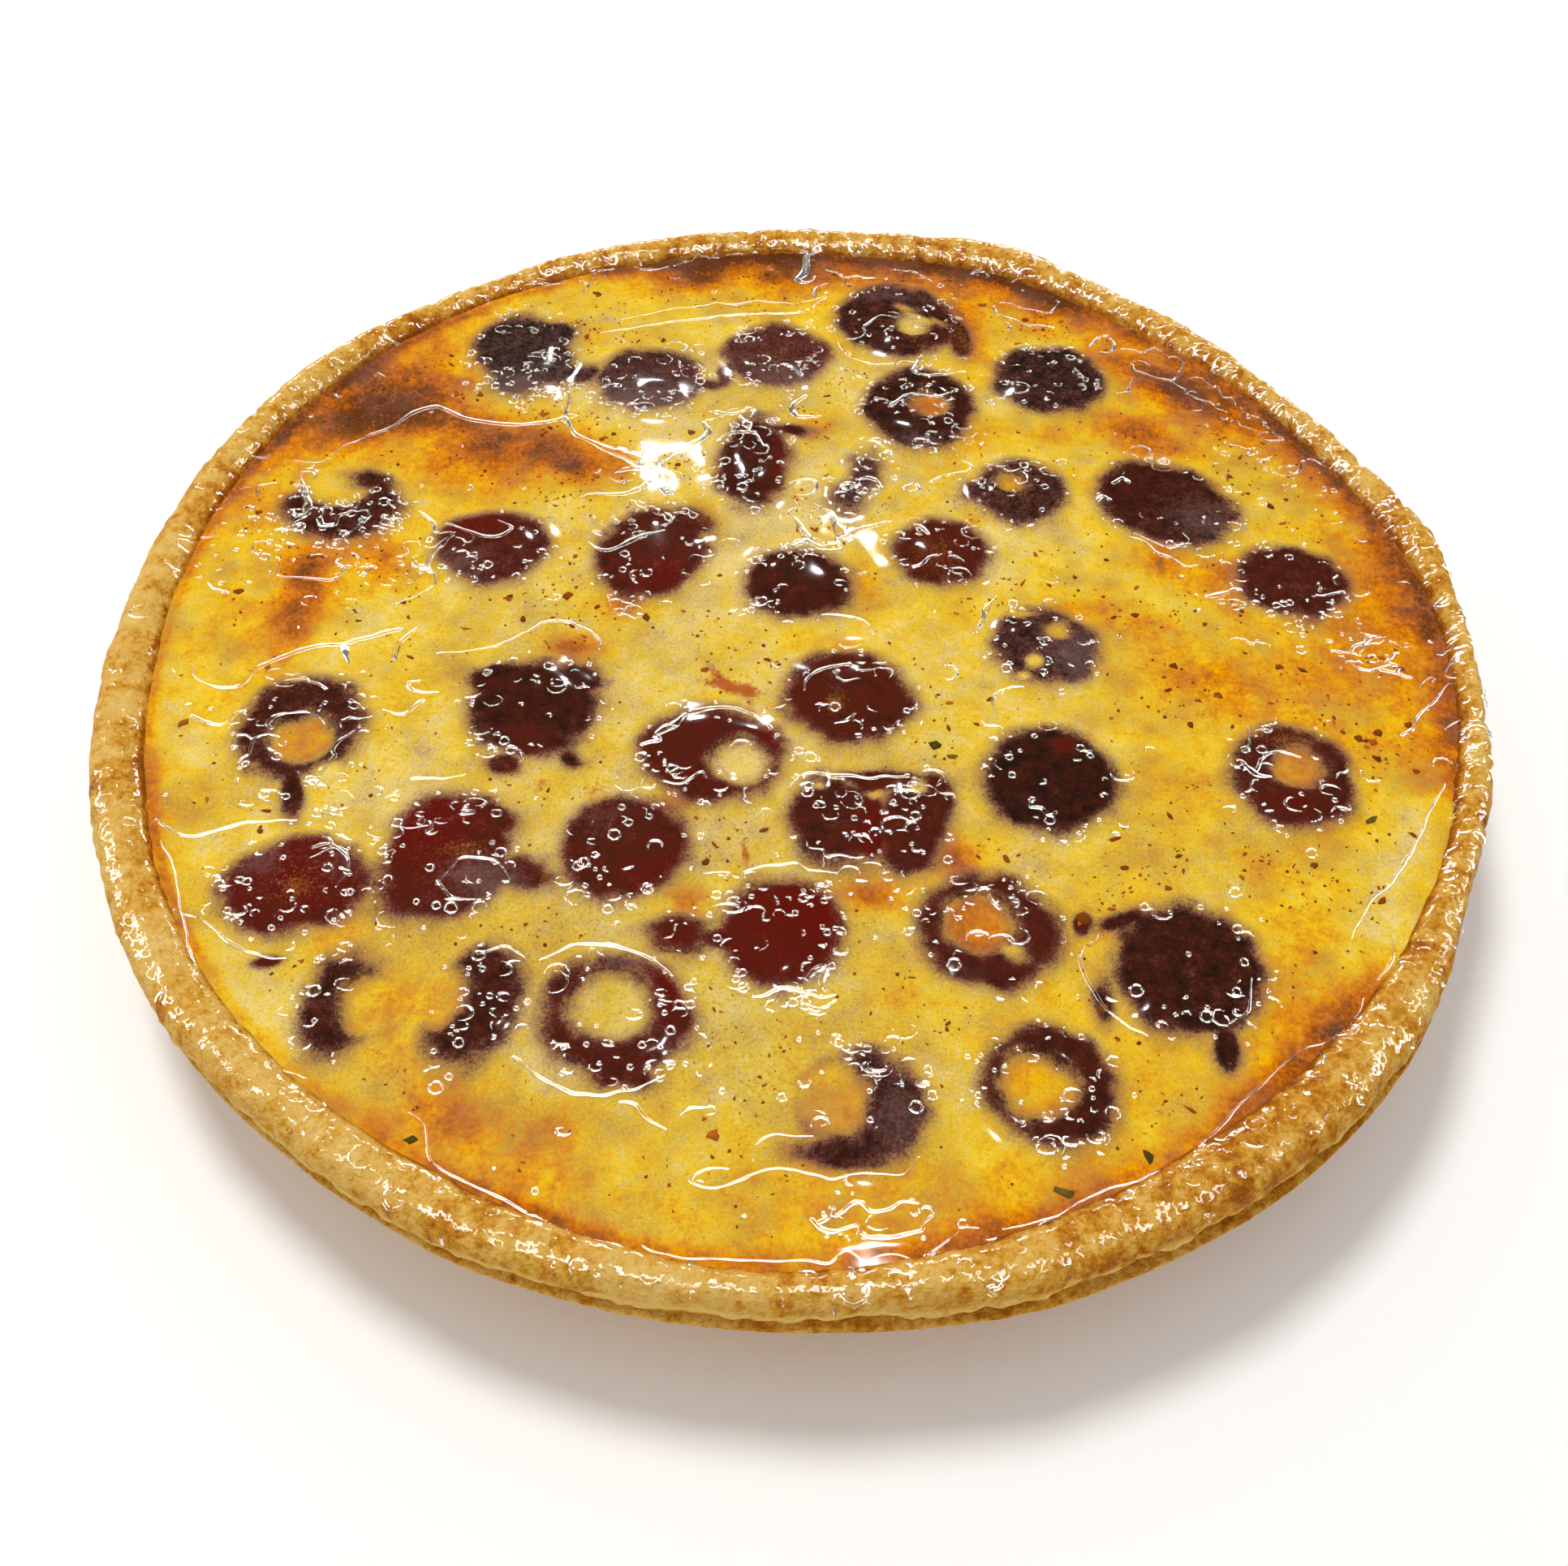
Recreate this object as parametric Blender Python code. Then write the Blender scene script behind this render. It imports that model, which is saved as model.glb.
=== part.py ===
"""A cherry flan tart: a round shortcrust case with a rolled rim, set custard, and pitted cherries
baked into the custard so that their tops show.

Metres, +Z up. The origin is on the surface that the tart stands on, under the middle of its base.
Sizes below are in millimetres, and MM turns them into metres.
"""

import math
from collections import namedtuple

import bmesh
import bpy
from mathutils import Matrix, Vector

MM = 0.001

# The pastry case
RIM_RADIUS = 119.5  # the rolled rim's outermost line
CREST_HEIGHT = 31.0  # the top of the rolled rim
BASE_RADIUS = 105.5  # the foot of the outer wall
BASE_FILLET = 4.0
FLOOR_THICKNESS = 4.2
BEAD_HALF_WIDTH = 4.4  # the rolled rim's section is an ellipse
BEAD_HALF_HEIGHT = 4.6
INNER_EDGE = RIM_RADIUS - 2 * BEAD_HALF_WIDTH  # where the custard meets the roll
LIP_HALF_WIDTH = 2.6  # the cut edge of the dough, folded down under the roll
LIP_HALF_HEIGHT = 1.8
LIP_INSET = 3.0  # from the rim's outermost line to the lip's middle
LIP_DROP = 5.3  # from the roll's middle down to the lip's middle
SEAM_INSET = 2.5  # how deep the crack between roll and lip goes in
WALL_TOP_INSET = 8.6  # from the rim's outermost line to the wall under the lip
INNER_WALL_FOOT = 101.0
SEGMENTS = 72

# How far the hand-rolled rim strays from its circles: the direction in degrees from +X, the half
# width in degrees, and the distance outwards
OUTER_LUMPS = (
    (0, 26, -1.9),
    (14, 8, 2.7),
    (34, 9, -2.4),
    (70, 8, 4.2),
    (101, 6, -0.6),
    (119, 14, -1.7),
    (147, 5, 1.0),
    (178, 26, -2.2),
    (220, 9, 0.8),
    (250, 7, 0.6),
    (288, 8, 1.0),
    (308, 16, 1.2),
    (334, 8, -1.5),
)
INNER_LUMPS = (
    (6, 16, 2.0),
    (70, 10, 2.2),
    (105, 16, -0.5),
    (185, 26, -2.9),
    (270, 14, 2.4),
    (308, 18, -1.4),
)
RIM_WAVES = ((5, 0.22, 1.1), (9, 0.16, 2.7), (13, 0.12, 0.4))  # waves a turn, height, phase

# The custard
CUSTARD_LEVEL = 27.2
CUSTARD_RINGS = (0.92, 0.76, 0.56, 0.34)  # shares of its top's radius
CUSTARD_EDGE_RISE = 0.4  # it climbs the pastry at its edge
FIT_GAP = 0.35  # between pieces that touch

# The cherries. Their sizes are across X and along Y before the turn, in degrees. A mouth is the pit
# hole, which the custard fills: where its middle lies from the cherry's, and its radius. An open
# mouth reaches past the cherry's side, so that custard lies over part of the fruit.
Cherry = namedtuple("Cherry", "x y width depth turn mouth", defaults=(0, None))
Mouth = namedtuple("Mouth", "x y radius open", defaults=(False,))
CHERRIES = (
    Cherry(-56.5, 74.0, 20.0, 23.5, 20),
    Cherry(-31.0, 67.0, 21.5, 18.5, 0),
    Cherry(-5.5, 76.0, 21.0, 19.5, 0),
    Cherry(19.0, 89.0, 25.0, 23.0, -12, Mouth(3.2, -0.5, 3.6)),
    Cherry(23.0, 61.0, 21.5, 24.0, -4, Mouth(1.5, 2.0, 4.0)),
    Cherry(49.0, 71.5, 21.5, 20.5, -8),
    Cherry(-9.0, 44.0, 14.0, 26.0, -4),
    Cherry(10.5, 39.5, 8.0, 17.0, -16, Mouth(-5.0, 1.0, 4.4, True)),
    Cherry(41.0, 38.0, 17.0, 17.5, -20, Mouth(-2.2, 1.4, 2.4)),
    Cherry(68.0, 36.0, 27.0, 21.5, -28),
    Cherry(88.5, 16.5, 20.0, 17.5, -14),
    Cherry(-83.5, 28.0, 21.5, 18.0, 14, Mouth(-1.0, 6.5, 6.4, True)),
    Cherry(-55.0, 18.5, 21.0, 18.0, 0),
    Cherry(-26.0, 18.5, 19.5, 23.0, -16),
    Cherry(0.5, 12.0, 19.5, 17.5, 0),
    Cherry(26.0, 21.0, 18.0, 17.0, -18),
    Cherry(43.0, -1.5, 18.0, 18.0, 0, Mouth(2.8, 4.0, 2.0)),
    Cherry(-80.5, -25.0, 20.5, 22.5, 0, Mouth(1.0, -2.4, 4.8)),
    Cherry(-43.0, -19.5, 22.5, 21.5, -10),
    Cherry(9.5, -14.5, 22.0, 20.0, -6),
    Cherry(-12.5, -27.5, 23.5, 20.0, -10, Mouth(4.6, -0.8, 4.4)),
    Cherry(42.0, -30.5, 22.0, 22.0, -18),
    Cherry(81.5, -28.0, 20.5, 21.0, -10, Mouth(1.0, 2.4, 4.4)),
    Cherry(6.4, -40.2, 12.8, 18.0, 6),
    Cherry(19.4, -40.8, 12.0, 18.5, -6),
    Cherry(30.5, -59.5, 22.0, 20.5, -10, Mouth(-0.5, 0.0, 5.6)),
    Cherry(-1.0, -61.0, 18.5, 20.0, -16),
    Cherry(60.0, -65.5, 22.5, 23.5, -12),
    Cherry(-25.5, -47.0, 19.5, 20.5, -14),
    Cherry(-52.5, -49.5, 20.5, 24.5, 6),
    Cherry(-74.5, -56.5, 22.0, 18.5, 14),
    Cherry(-64.0, -76.5, 10.5, 19.5, -6, Mouth(6.2, 0.4, 5.8, True)),
    Cherry(-44.5, -76.0, 12.5, 20.0, -14, Mouth(-6.6, 0.0, 5.6, True)),
    Cherry(-24.0, -76.5, 22.5, 21.0, 0, Mouth(-0.8, 1.6, 5.6)),
    Cherry(-16.0, -62.6, 10.5, 6.6, -8),
    Cherry(12.0, -89.5, 17.5, 17.5, 0, Mouth(-4.8, 1.2, 6.0, True)),
    Cherry(38.0, -85.5, 19.5, 19.5, 0, Mouth(-1.6, 0.2, 5.2)),
)
CHERRY_PROUD = 1.4  # how far a cherry's top stands over the custard
CAP_HEIGHT = 2.7  # from a cherry's widest line up to its top
CAP_POWER = 0.55  # under 1 makes the cap flat with round shoulders
BODY_SHARE = 0.58  # from the widest line down to the bottom, as a share of the mean width
CHERRY_SEGMENTS, CHERRY_RINGS = 12, 5
CHERRY_DENT = 0.035  # how uneven a cherry's outline is, as a share
MOUTH_SIDES = 8
MOUTH_TAPER = 0.55  # the pit hole's radius at its bottom, as a share of its radius on top
OPEN_MOUTH_DEPTH = 5.0

# Colours are linear red, green and blue
CRUST_COLOUR = (0.55, 0.27, 0.075, 1.0)
CUSTARD_COLOUR = (0.82, 0.52, 0.075, 1.0)
CHERRY_COLOUR = (0.055, 0.006, 0.006, 1.0)


def clear_scene():
    for obj in list(bpy.data.objects):
        bpy.data.objects.remove(obj)


def new_collection(name):
    collection = bpy.data.collections.new(name)
    bpy.context.scene.collection.children.link(collection)
    return collection


def material(name, colour, roughness):
    made = bpy.data.materials.new(name)
    made.use_nodes = True
    shader = made.node_tree.nodes["Principled BSDF"]
    shader.inputs["Base Color"].default_value = colour
    shader.inputs["Roughness"].default_value = roughness
    return made


def new_object(name, bm, collection, finish=None):
    """Puts a bmesh in millimetres into a new object, in metres, with its faces pointing out."""
    bmesh.ops.recalc_face_normals(bm, faces=bm.faces)
    bmesh.ops.scale(bm, vec=Vector((MM, MM, MM)), verts=bm.verts)
    mesh = bpy.data.meshes.new(name)
    bm.to_mesh(mesh)
    bm.free()
    mesh.shade_smooth()
    mesh.set_sharp_from_angle(angle=math.radians(50))
    if finish:
        mesh.materials.append(finish)
    obj = bpy.data.objects.new(name, mesh)
    collection.objects.link(obj)
    return obj


def stray(lumps, angle):
    """How far out an edge is from its circle at an angle in radians: a sum of smooth lumps."""
    out = 0.0
    for middle, half_width, height in lumps:
        away = (math.degrees(angle) - middle + 180) % 360 - 180
        out += height * math.exp(-((away / half_width) ** 2))
    return out


def rim_rise(angle):
    """How far the rim's height is from its mean at an angle in radians: a few slow waves."""
    return sum(height * math.sin(turns * angle + phase) for turns, height, phase in RIM_WAVES)


def share_up(height):
    """0 at the base and 1 from the custard's level up, so that the base stays round and flat."""
    t = min(max((height - FLOOR_THICKNESS) / (CUSTARD_LEVEL - FLOOR_THICKNESS), 0.0), 1.0)
    return t * t * (3 - 2 * t)


def custard_top(x, y):
    """The custard's height at a point: nearly level, with low swells and a rise to the pastry."""
    swell = 0.25 * math.sin(x / 31 + 0.6) * math.cos(y / 27 - 0.4)
    edge = (math.hypot(x, y) / INNER_EDGE) ** 10
    return CUSTARD_LEVEL + swell + CUSTARD_EDGE_RISE * min(edge, 1.0)


def arc(middle, half_width, half_height, start, end, steps):
    """Points (radius, height) along an ellipse, from one angle to another in degrees."""
    angles = [math.radians(start + (end - start) * i / steps) for i in range(steps + 1)]
    return [
        (middle[0] + half_width * math.cos(a), middle[1] + half_height * math.sin(a)) for a in angles
    ]


def inner_wall(gap=0.0):
    """The two ends of the straight inside of the wall, top first, drawn in by a gap."""
    return [
        (INNER_EDGE - 1.2 - gap, CREST_HEIGHT - BEAD_HALF_HEIGHT - 3.5),
        (INNER_WALL_FOOT + 2.4 - gap, FLOOR_THICKNESS + 2.2 + gap),
        (INNER_WALL_FOOT - gap, FLOOR_THICKNESS + gap),
    ]


def crust_profile():
    """The pastry's section, from the middle of its base out, up, over the roll and back inside."""
    bead = (RIM_RADIUS - BEAD_HALF_WIDTH, CREST_HEIGHT - BEAD_HALF_HEIGHT)
    lip = (RIM_RADIUS - LIP_INSET, bead[1] - LIP_DROP)
    seam = (RIM_RADIUS - SEAM_INSET, (bead[1] + lip[1]) / 2 - 0.7)
    return [
        (0.0, 0.0),
        (BASE_RADIUS - BASE_FILLET, 0.0),
        (BASE_RADIUS - 0.3 * BASE_FILLET, 0.3 * BASE_FILLET),
        (BASE_RADIUS, BASE_FILLET),
        (RIM_RADIUS - WALL_TOP_INSET, lip[1] - LIP_HALF_HEIGHT),
        *arc(lip, LIP_HALF_WIDTH, LIP_HALF_HEIGHT, -100, 40, 3),
        seam,
        *arc(bead, BEAD_HALF_WIDTH, BEAD_HALF_HEIGHT, -40, 190, 8),
        *inner_wall(),
        (0.0, FLOOR_THICKNESS),
    ]


def custard_profile():
    """The custard's section, from the middle of its underside out, up and back over its top."""
    foot_to_top = inner_wall(FIT_GAP)[::-1]
    edge = INNER_EDGE - FIT_GAP
    top = [(edge * share, CUSTARD_LEVEL) for share in CUSTARD_RINGS]
    return [
        (0.0, FLOOR_THICKNESS + FIT_GAP),
        *foot_to_top,
        (edge, CUSTARD_LEVEL + CUSTARD_EDGE_RISE),
        *top,
        (0.0, CUSTARD_LEVEL),
    ]


def split_quads(bm):
    """Cuts each quad from its low corner on one side to its high corner on the other, so that
    bodies that lie against each other stay parallel once the rim is pushed out of round."""
    for face in [face for face in bm.faces if len(face.verts) == 4]:
        middle = face.calc_center_median()
        sides = ([], [])
        for vert in face.verts:
            rank = vert.co.z + math.hypot(vert.co.x, vert.co.y)
            sides[middle.cross(vert.co).z > 0].append((rank, vert))
        low = min(sides[0], key=lambda item: item[0])[1]
        high = max(sides[1], key=lambda item: item[0])[1]
        bmesh.utils.face_split(face, low, high)


def turned(profile):
    """A closed turned body in millimetres from a profile of (radius, height) points."""
    bm = bmesh.new()
    verts = [bm.verts.new((radius, 0.0, height)) for radius, height in profile]
    edges = [bm.edges.new(pair) for pair in zip(verts, verts[1:])]
    bmesh.ops.spin(
        bm,
        geom=verts + edges,
        axis=(0, 0, 1),
        cent=(0, 0, 0),
        angle=2 * math.pi,
        steps=SEGMENTS,
        use_merge=True,
    )
    bmesh.ops.remove_doubles(bm, verts=bm.verts, dist=0.001)
    split_quads(bm)
    return bm


def push_rim(vert):
    """Moves a point of a turned body to where the uneven rim has it."""
    angle = math.atan2(vert.co.y, vert.co.x)
    radius = math.hypot(vert.co.x, vert.co.y)
    across = min(max((radius - INNER_EDGE) / (RIM_RADIUS - INNER_EDGE), 0.0), 1.0)
    out = stray(OUTER_LUMPS, angle) * across + stray(INNER_LUMPS, angle) * (1 - across)
    share = share_up(vert.co.z) * min(radius / INNER_EDGE, 1.0) ** 4
    scale = 1 + out * share / max(radius, 1.0)
    vert.co.x *= scale
    vert.co.y *= scale
    above = max(vert.co.z - CUSTARD_LEVEL, 0.0) / (CREST_HEIGHT - CUSTARD_LEVEL)
    vert.co.z += rim_rise(angle) * min(above, 1.0)


def make_crust(collection, finish):
    bm = turned(crust_profile())
    for vert in bm.verts:
        push_rim(vert)
    return new_object("crust", bm, collection, finish)


def make_custard(collection, finish, pockets):
    bm = turned(custard_profile())
    for vert in bm.verts:
        if vert.co.z > CUSTARD_LEVEL - 0.01:
            vert.co.z = custard_top(vert.co.x, vert.co.y)
        push_rim(vert)
    custard = new_object("custard", bm, collection, finish)
    cut = custard.modifiers.new("cherry_pockets", "BOOLEAN")
    cut.operation = "DIFFERENCE"
    cut.operand_type = "COLLECTION"
    cut.collection = pockets
    return custard


def cherry_form(cherry, index, grow):
    """A cherry's body in millimetres: a round bowl below its widest line and a flat cap above it,
    with an outline that swells and dents a little. grow is added all round."""
    bm = bmesh.new()
    bmesh.ops.create_uvsphere(bm, u_segments=CHERRY_SEGMENTS, v_segments=CHERRY_RINGS, radius=1.0)
    bowl = BODY_SHARE * min(cherry.width, cherry.depth) + grow
    for vert in bm.verts:
        flat = math.hypot(vert.co.x, vert.co.y)
        around = math.atan2(vert.co.y, vert.co.x)
        dent = 1 + CHERRY_DENT * math.sin(2 * around + 1.7 * index) * math.sin(3 * around + index)
        out = (flat**CAP_POWER if vert.co.z > 0 else flat) if flat > 1e-4 else 0.0
        unit = Vector((math.cos(around), math.sin(around), 0.0)) * out
        height = vert.co.z
        vert.co.x = unit.x * (cherry.width / 2 * dent + grow)
        vert.co.y = unit.y * (cherry.depth / 2 * dent + grow)
        vert.co.z = height**CAP_POWER * (CAP_HEIGHT + grow) if height > 0 else height * bowl
    return bm


def mouth_form(cherry, grow):
    """The cutter of a cherry's mouth in millimetres: a tapered plug, all the way down for a pit
    hole, and shallow for an open mouth. grow makes it smaller, for the cherry's pocket."""
    mouth = cherry.mouth
    above = CAP_HEIGHT + 3.0
    bowl = BODY_SHARE * min(cherry.width, cherry.depth)
    bottom = CAP_HEIGHT - OPEN_MOUTH_DEPTH + grow if mouth.open else -bowl - 3.0
    bm = bmesh.new()
    bmesh.ops.create_cone(
        bm,
        cap_ends=True,
        segments=MOUTH_SIDES,
        radius1=(mouth.radius * (1.0 if mouth.open else MOUTH_TAPER) - grow),
        radius2=mouth.radius - grow,
        depth=above - bottom,
        matrix=Matrix.Translation((mouth.x, mouth.y, (above + bottom) / 2)),
    )
    return bm


def cut_mouth(body, cutter):
    cut = body.modifiers.new("mouth", "BOOLEAN")
    cut.operation = "DIFFERENCE"
    cut.object = cutter


def place_cherry(obj, cherry):
    top = custard_top(cherry.x, cherry.y) + CHERRY_PROUD
    obj.location = Vector((cherry.x, cherry.y, top - CAP_HEIGHT)) * MM
    obj.rotation_euler.z = math.radians(cherry.turn)


def make_cherry(cherry, index, parts, pockets, cutters, finish):
    """One cherry and the slightly larger cutter that makes its pocket in the custard."""
    name = f"cherry_{index:02d}"
    bodies = (
        new_object(name, cherry_form(cherry, index, 0.0), parts, finish),
        new_object(name + "_pocket", cherry_form(cherry, index, FIT_GAP), pockets),
    )
    for body, grow in zip(bodies, (0.0, FIT_GAP)):
        place_cherry(body, cherry)
        if cherry.mouth:
            cutter = new_object(body.name + "_mouth", mouth_form(cherry, grow), cutters)
            place_cherry(cutter, cherry)
            cut_mouth(body, cutter)


def hide_helpers(collection):
    for obj in collection.objects:
        obj.hide_render = True
        obj.display_type = "WIRE"


def main():
    clear_scene()
    parts = new_collection("cherry_flan_tart")
    pockets = new_collection("pockets")
    cutters = new_collection("cutters")
    crust_finish = material("baked_pastry", CRUST_COLOUR, 0.45)
    custard_finish = material("set_custard", CUSTARD_COLOUR, 0.25)
    cherry_finish = material("baked_cherry", CHERRY_COLOUR, 0.15)
    make_crust(parts, crust_finish)
    for index, cherry in enumerate(CHERRIES, start=1):
        make_cherry(cherry, index, parts, pockets, cutters, cherry_finish)
    make_custard(parts, custard_finish, pockets)
    hide_helpers(pockets)
    hide_helpers(cutters)


main()
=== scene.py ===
"""The looks of a cherry flan tart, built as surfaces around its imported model.

Run it as a script in Blender 4.5, or read it as an add-on: one operator makes each piece or group of
like pieces, and a panel lists them. Lengths are in millimetres unless a name says otherwise, and MM
turns them into metres. +Z is up, and the origin is on the surface that the tart stands on.
"""

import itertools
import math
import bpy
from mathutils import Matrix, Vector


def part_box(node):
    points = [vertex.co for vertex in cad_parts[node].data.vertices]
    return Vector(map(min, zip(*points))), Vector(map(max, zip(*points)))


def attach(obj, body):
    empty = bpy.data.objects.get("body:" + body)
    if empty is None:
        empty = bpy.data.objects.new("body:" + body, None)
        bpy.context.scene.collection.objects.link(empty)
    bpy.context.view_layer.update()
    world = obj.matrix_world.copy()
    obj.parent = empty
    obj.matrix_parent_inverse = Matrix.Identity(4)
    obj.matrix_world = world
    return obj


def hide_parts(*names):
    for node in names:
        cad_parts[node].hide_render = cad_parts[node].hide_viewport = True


bl_info = {
    "name": "Cherry Flan Tart",
    "version": (1, 0, 0),
    "blender": (4, 5, 0),
    "location": "3D View > Sidebar > Flan",
    "description": "Builds the pastry, custard, cherries, glaze and flecks of a cherry flan tart",
    "category": "Object",
}

from collections import namedtuple

import bpy
import numpy as np
from mathutils import Matrix, Vector

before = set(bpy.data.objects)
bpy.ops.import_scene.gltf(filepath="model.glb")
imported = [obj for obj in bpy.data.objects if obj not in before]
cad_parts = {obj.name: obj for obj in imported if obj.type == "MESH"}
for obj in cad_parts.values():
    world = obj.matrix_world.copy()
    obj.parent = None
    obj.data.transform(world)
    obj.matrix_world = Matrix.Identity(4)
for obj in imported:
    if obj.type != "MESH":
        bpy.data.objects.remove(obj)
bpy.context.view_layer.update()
MM = 0.001
BODY = "root"

# ------------------------------------------------------------------------------------------------
# Driving sizes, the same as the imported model's
# ------------------------------------------------------------------------------------------------
RIM_RADIUS = 119.5
CREST_HEIGHT = 31.0
BASE_RADIUS = 105.5
BASE_FILLET = 4.0
LIP_HALF_WIDTH, LIP_HALF_HEIGHT = 2.6, 1.8
FLOOR_THICKNESS = 4.2
BEAD_HALF_WIDTH = 4.4
BEAD_HALF_HEIGHT = 4.6
INNER_EDGE = RIM_RADIUS - 2 * BEAD_HALF_WIDTH
INNER_WALL_FOOT = 101.0
INNER_FOOT_WIDTH, INNER_FOOT_HEIGHT = 2.4, 2.2  # the slope between the floor and the inner wall
CUSTARD_LEVEL = 27.2
CUSTARD_EDGE_RISE = 0.4
FIT_GAP = 0.35
CHERRY_PROUD = 1.4
CAP_HEIGHT = 2.7
CAP_POWER = 0.55
BODY_SHARE = 0.58
CHERRY_DENT = 0.035
SEGMENTS = 72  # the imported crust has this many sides
# Sizes that only the looks have
COLLAR_RISE = 0.75  # how far the custard climbs at a cherry
DISH_DEPTH = 3.0  # how far it is dished under one
SINK_DEPTH = 3.4  # how far a cherry's cap sinks in its pit hole

# A cherry's place, its size across X and along Y before its turn in degrees, its pit hole, and its
# look: tone runs from near-black brown to deep red, veil is how much grey-violet film covers it,
# and crease is the depth of its wrinkles.
Cherry = namedtuple("Cherry", "x y width depth turn tone veil crease mouth", defaults=(None,))
Mouth = namedtuple("Mouth", "x y radius browned")
CHERRIES = (
    Cherry(-56.5, 74.0, 20.0, 23.5, 20, 0.05, 0.60, 0.30),
    Cherry(-31.0, 67.0, 21.5, 18.5, 0, 0.25, 0.62, 0.35),
    Cherry(-5.5, 76.0, 21.0, 19.5, 0, 0.48, 0.60, 0.30),
    Cherry(19.0, 89.0, 25.0, 23.0, -12, 0.25, 0.40, 0.25, Mouth(3.2, -0.5, 3.6, 0.10)),
    Cherry(23.0, 61.0, 21.5, 24.0, -4, 0.20, 0.30, 0.30, Mouth(1.5, 2.0, 4.0, 0.62)),
    Cherry(49.0, 71.5, 21.5, 20.5, -8, 0.12, 0.50, 0.25),
    Cherry(-9.0, 44.0, 14.0, 26.0, -4, 0.30, 0.20, 0.30),
    Cherry(10.5, 39.5, 8.0, 17.0, -16, 0.30, 0.70, 0.15, Mouth(-5.0, 1.0, 4.0, 0.05)),
    Cherry(41.0, 38.0, 17.0, 17.5, -20, 0.25, 0.55, 0.25, Mouth(-2.2, 1.4, 2.4, 0.55)),
    Cherry(68.0, 36.0, 27.0, 21.5, -28, 0.28, 0.25, 0.20),
    Cherry(88.5, 16.5, 20.0, 17.5, -14, 0.42, 0.30, 0.15),
    Cherry(-83.5, 28.0, 21.5, 18.0, 14, 0.30, 0.40, 0.25, Mouth(-1.0, 6.5, 6.4, 0.30)),
    Cherry(-55.0, 18.5, 21.0, 18.0, 0, 0.50, 0.35, 0.30),
    Cherry(-26.0, 18.5, 19.5, 23.0, -16, 0.48, 0.25, 0.25),
    Cherry(0.5, 12.0, 19.5, 17.5, 0, 0.32, 0.15, 0.40),
    Cherry(26.0, 21.0, 18.0, 17.0, -18, 0.58, 0.15, 0.15),
    Cherry(43.0, -1.5, 18.0, 18.0, 0, 0.22, 0.55, 0.30, Mouth(2.8, 4.0, 2.0, 0.25)),
    Cherry(-80.5, -25.0, 20.5, 22.5, 0, 0.32, 0.40, 0.25, Mouth(1.0, -2.4, 4.8, 0.50)),
    Cherry(-43.0, -19.5, 22.5, 21.5, -10, 0.25, 0.08, 0.35),
    Cherry(9.5, -14.5, 22.0, 20.0, -6, 0.50, 0.15, 0.30),
    Cherry(-12.5, -27.5, 23.5, 20.0, -10, 0.58, 0.20, 0.20, Mouth(4.6, -0.8, 4.4, -0.05)),
    Cherry(42.0, -30.5, 22.0, 22.0, -18, 0.15, 0.10, 0.35),
    Cherry(81.5, -28.0, 20.5, 21.0, -10, 0.45, 0.25, 0.20, Mouth(1.0, 2.4, 4.4, 0.62)),
    Cherry(6.4, -40.2, 12.8, 18.0, 6, 0.40, 0.20, 0.35),
    Cherry(19.4, -40.8, 12.0, 18.5, -6, 0.45, 0.20, 0.35),
    Cherry(30.5, -59.5, 22.0, 20.5, -10, 0.45, 0.20, 0.15, Mouth(-1.3, 0.6, 5.2, 0.64)),
    Cherry(-1.0, -61.0, 18.5, 20.0, -16, 0.74, 0.20, 0.10),
    Cherry(60.0, -65.5, 22.5, 23.5, -12, 0.22, 0.30, 0.35),
    Cherry(-25.5, -47.0, 19.5, 20.5, -14, 0.52, 0.20, 0.15),
    Cherry(-52.5, -49.5, 20.5, 24.5, 6, 0.58, 0.34, 0.25),
    Cherry(-74.5, -56.5, 22.0, 18.5, 14, 0.66, 0.36, 0.12),
    Cherry(-64.0, -76.5, 10.5, 19.5, -6, 0.25, 0.35, 0.10, Mouth(6.2, 0.4, 5.8, 0.40)),
    Cherry(-44.5, -76.0, 12.5, 20.0, -14, 0.30, 0.35, 0.15, Mouth(-6.6, 0.0, 5.6, 0.40)),
    Cherry(-24.0, -76.5, 22.5, 21.0, 0, 0.50, 0.30, 0.15, Mouth(-0.8, 1.6, 5.6, 0.16)),
    Cherry(-16.0, -62.6, 10.5, 6.6, -8, 0.60, 0.25, 0.15),
    Cherry(12.0, -89.5, 17.5, 17.5, 0, 0.30, 0.50, 0.45, Mouth(-4.8, 1.2, 6.0, 0.42)),
    Cherry(38.0, -85.5, 19.5, 19.5, 0, 0.35, 0.15, 0.15, Mouth(-1.6, 0.2, 5.2, 0.46)),
)

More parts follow.
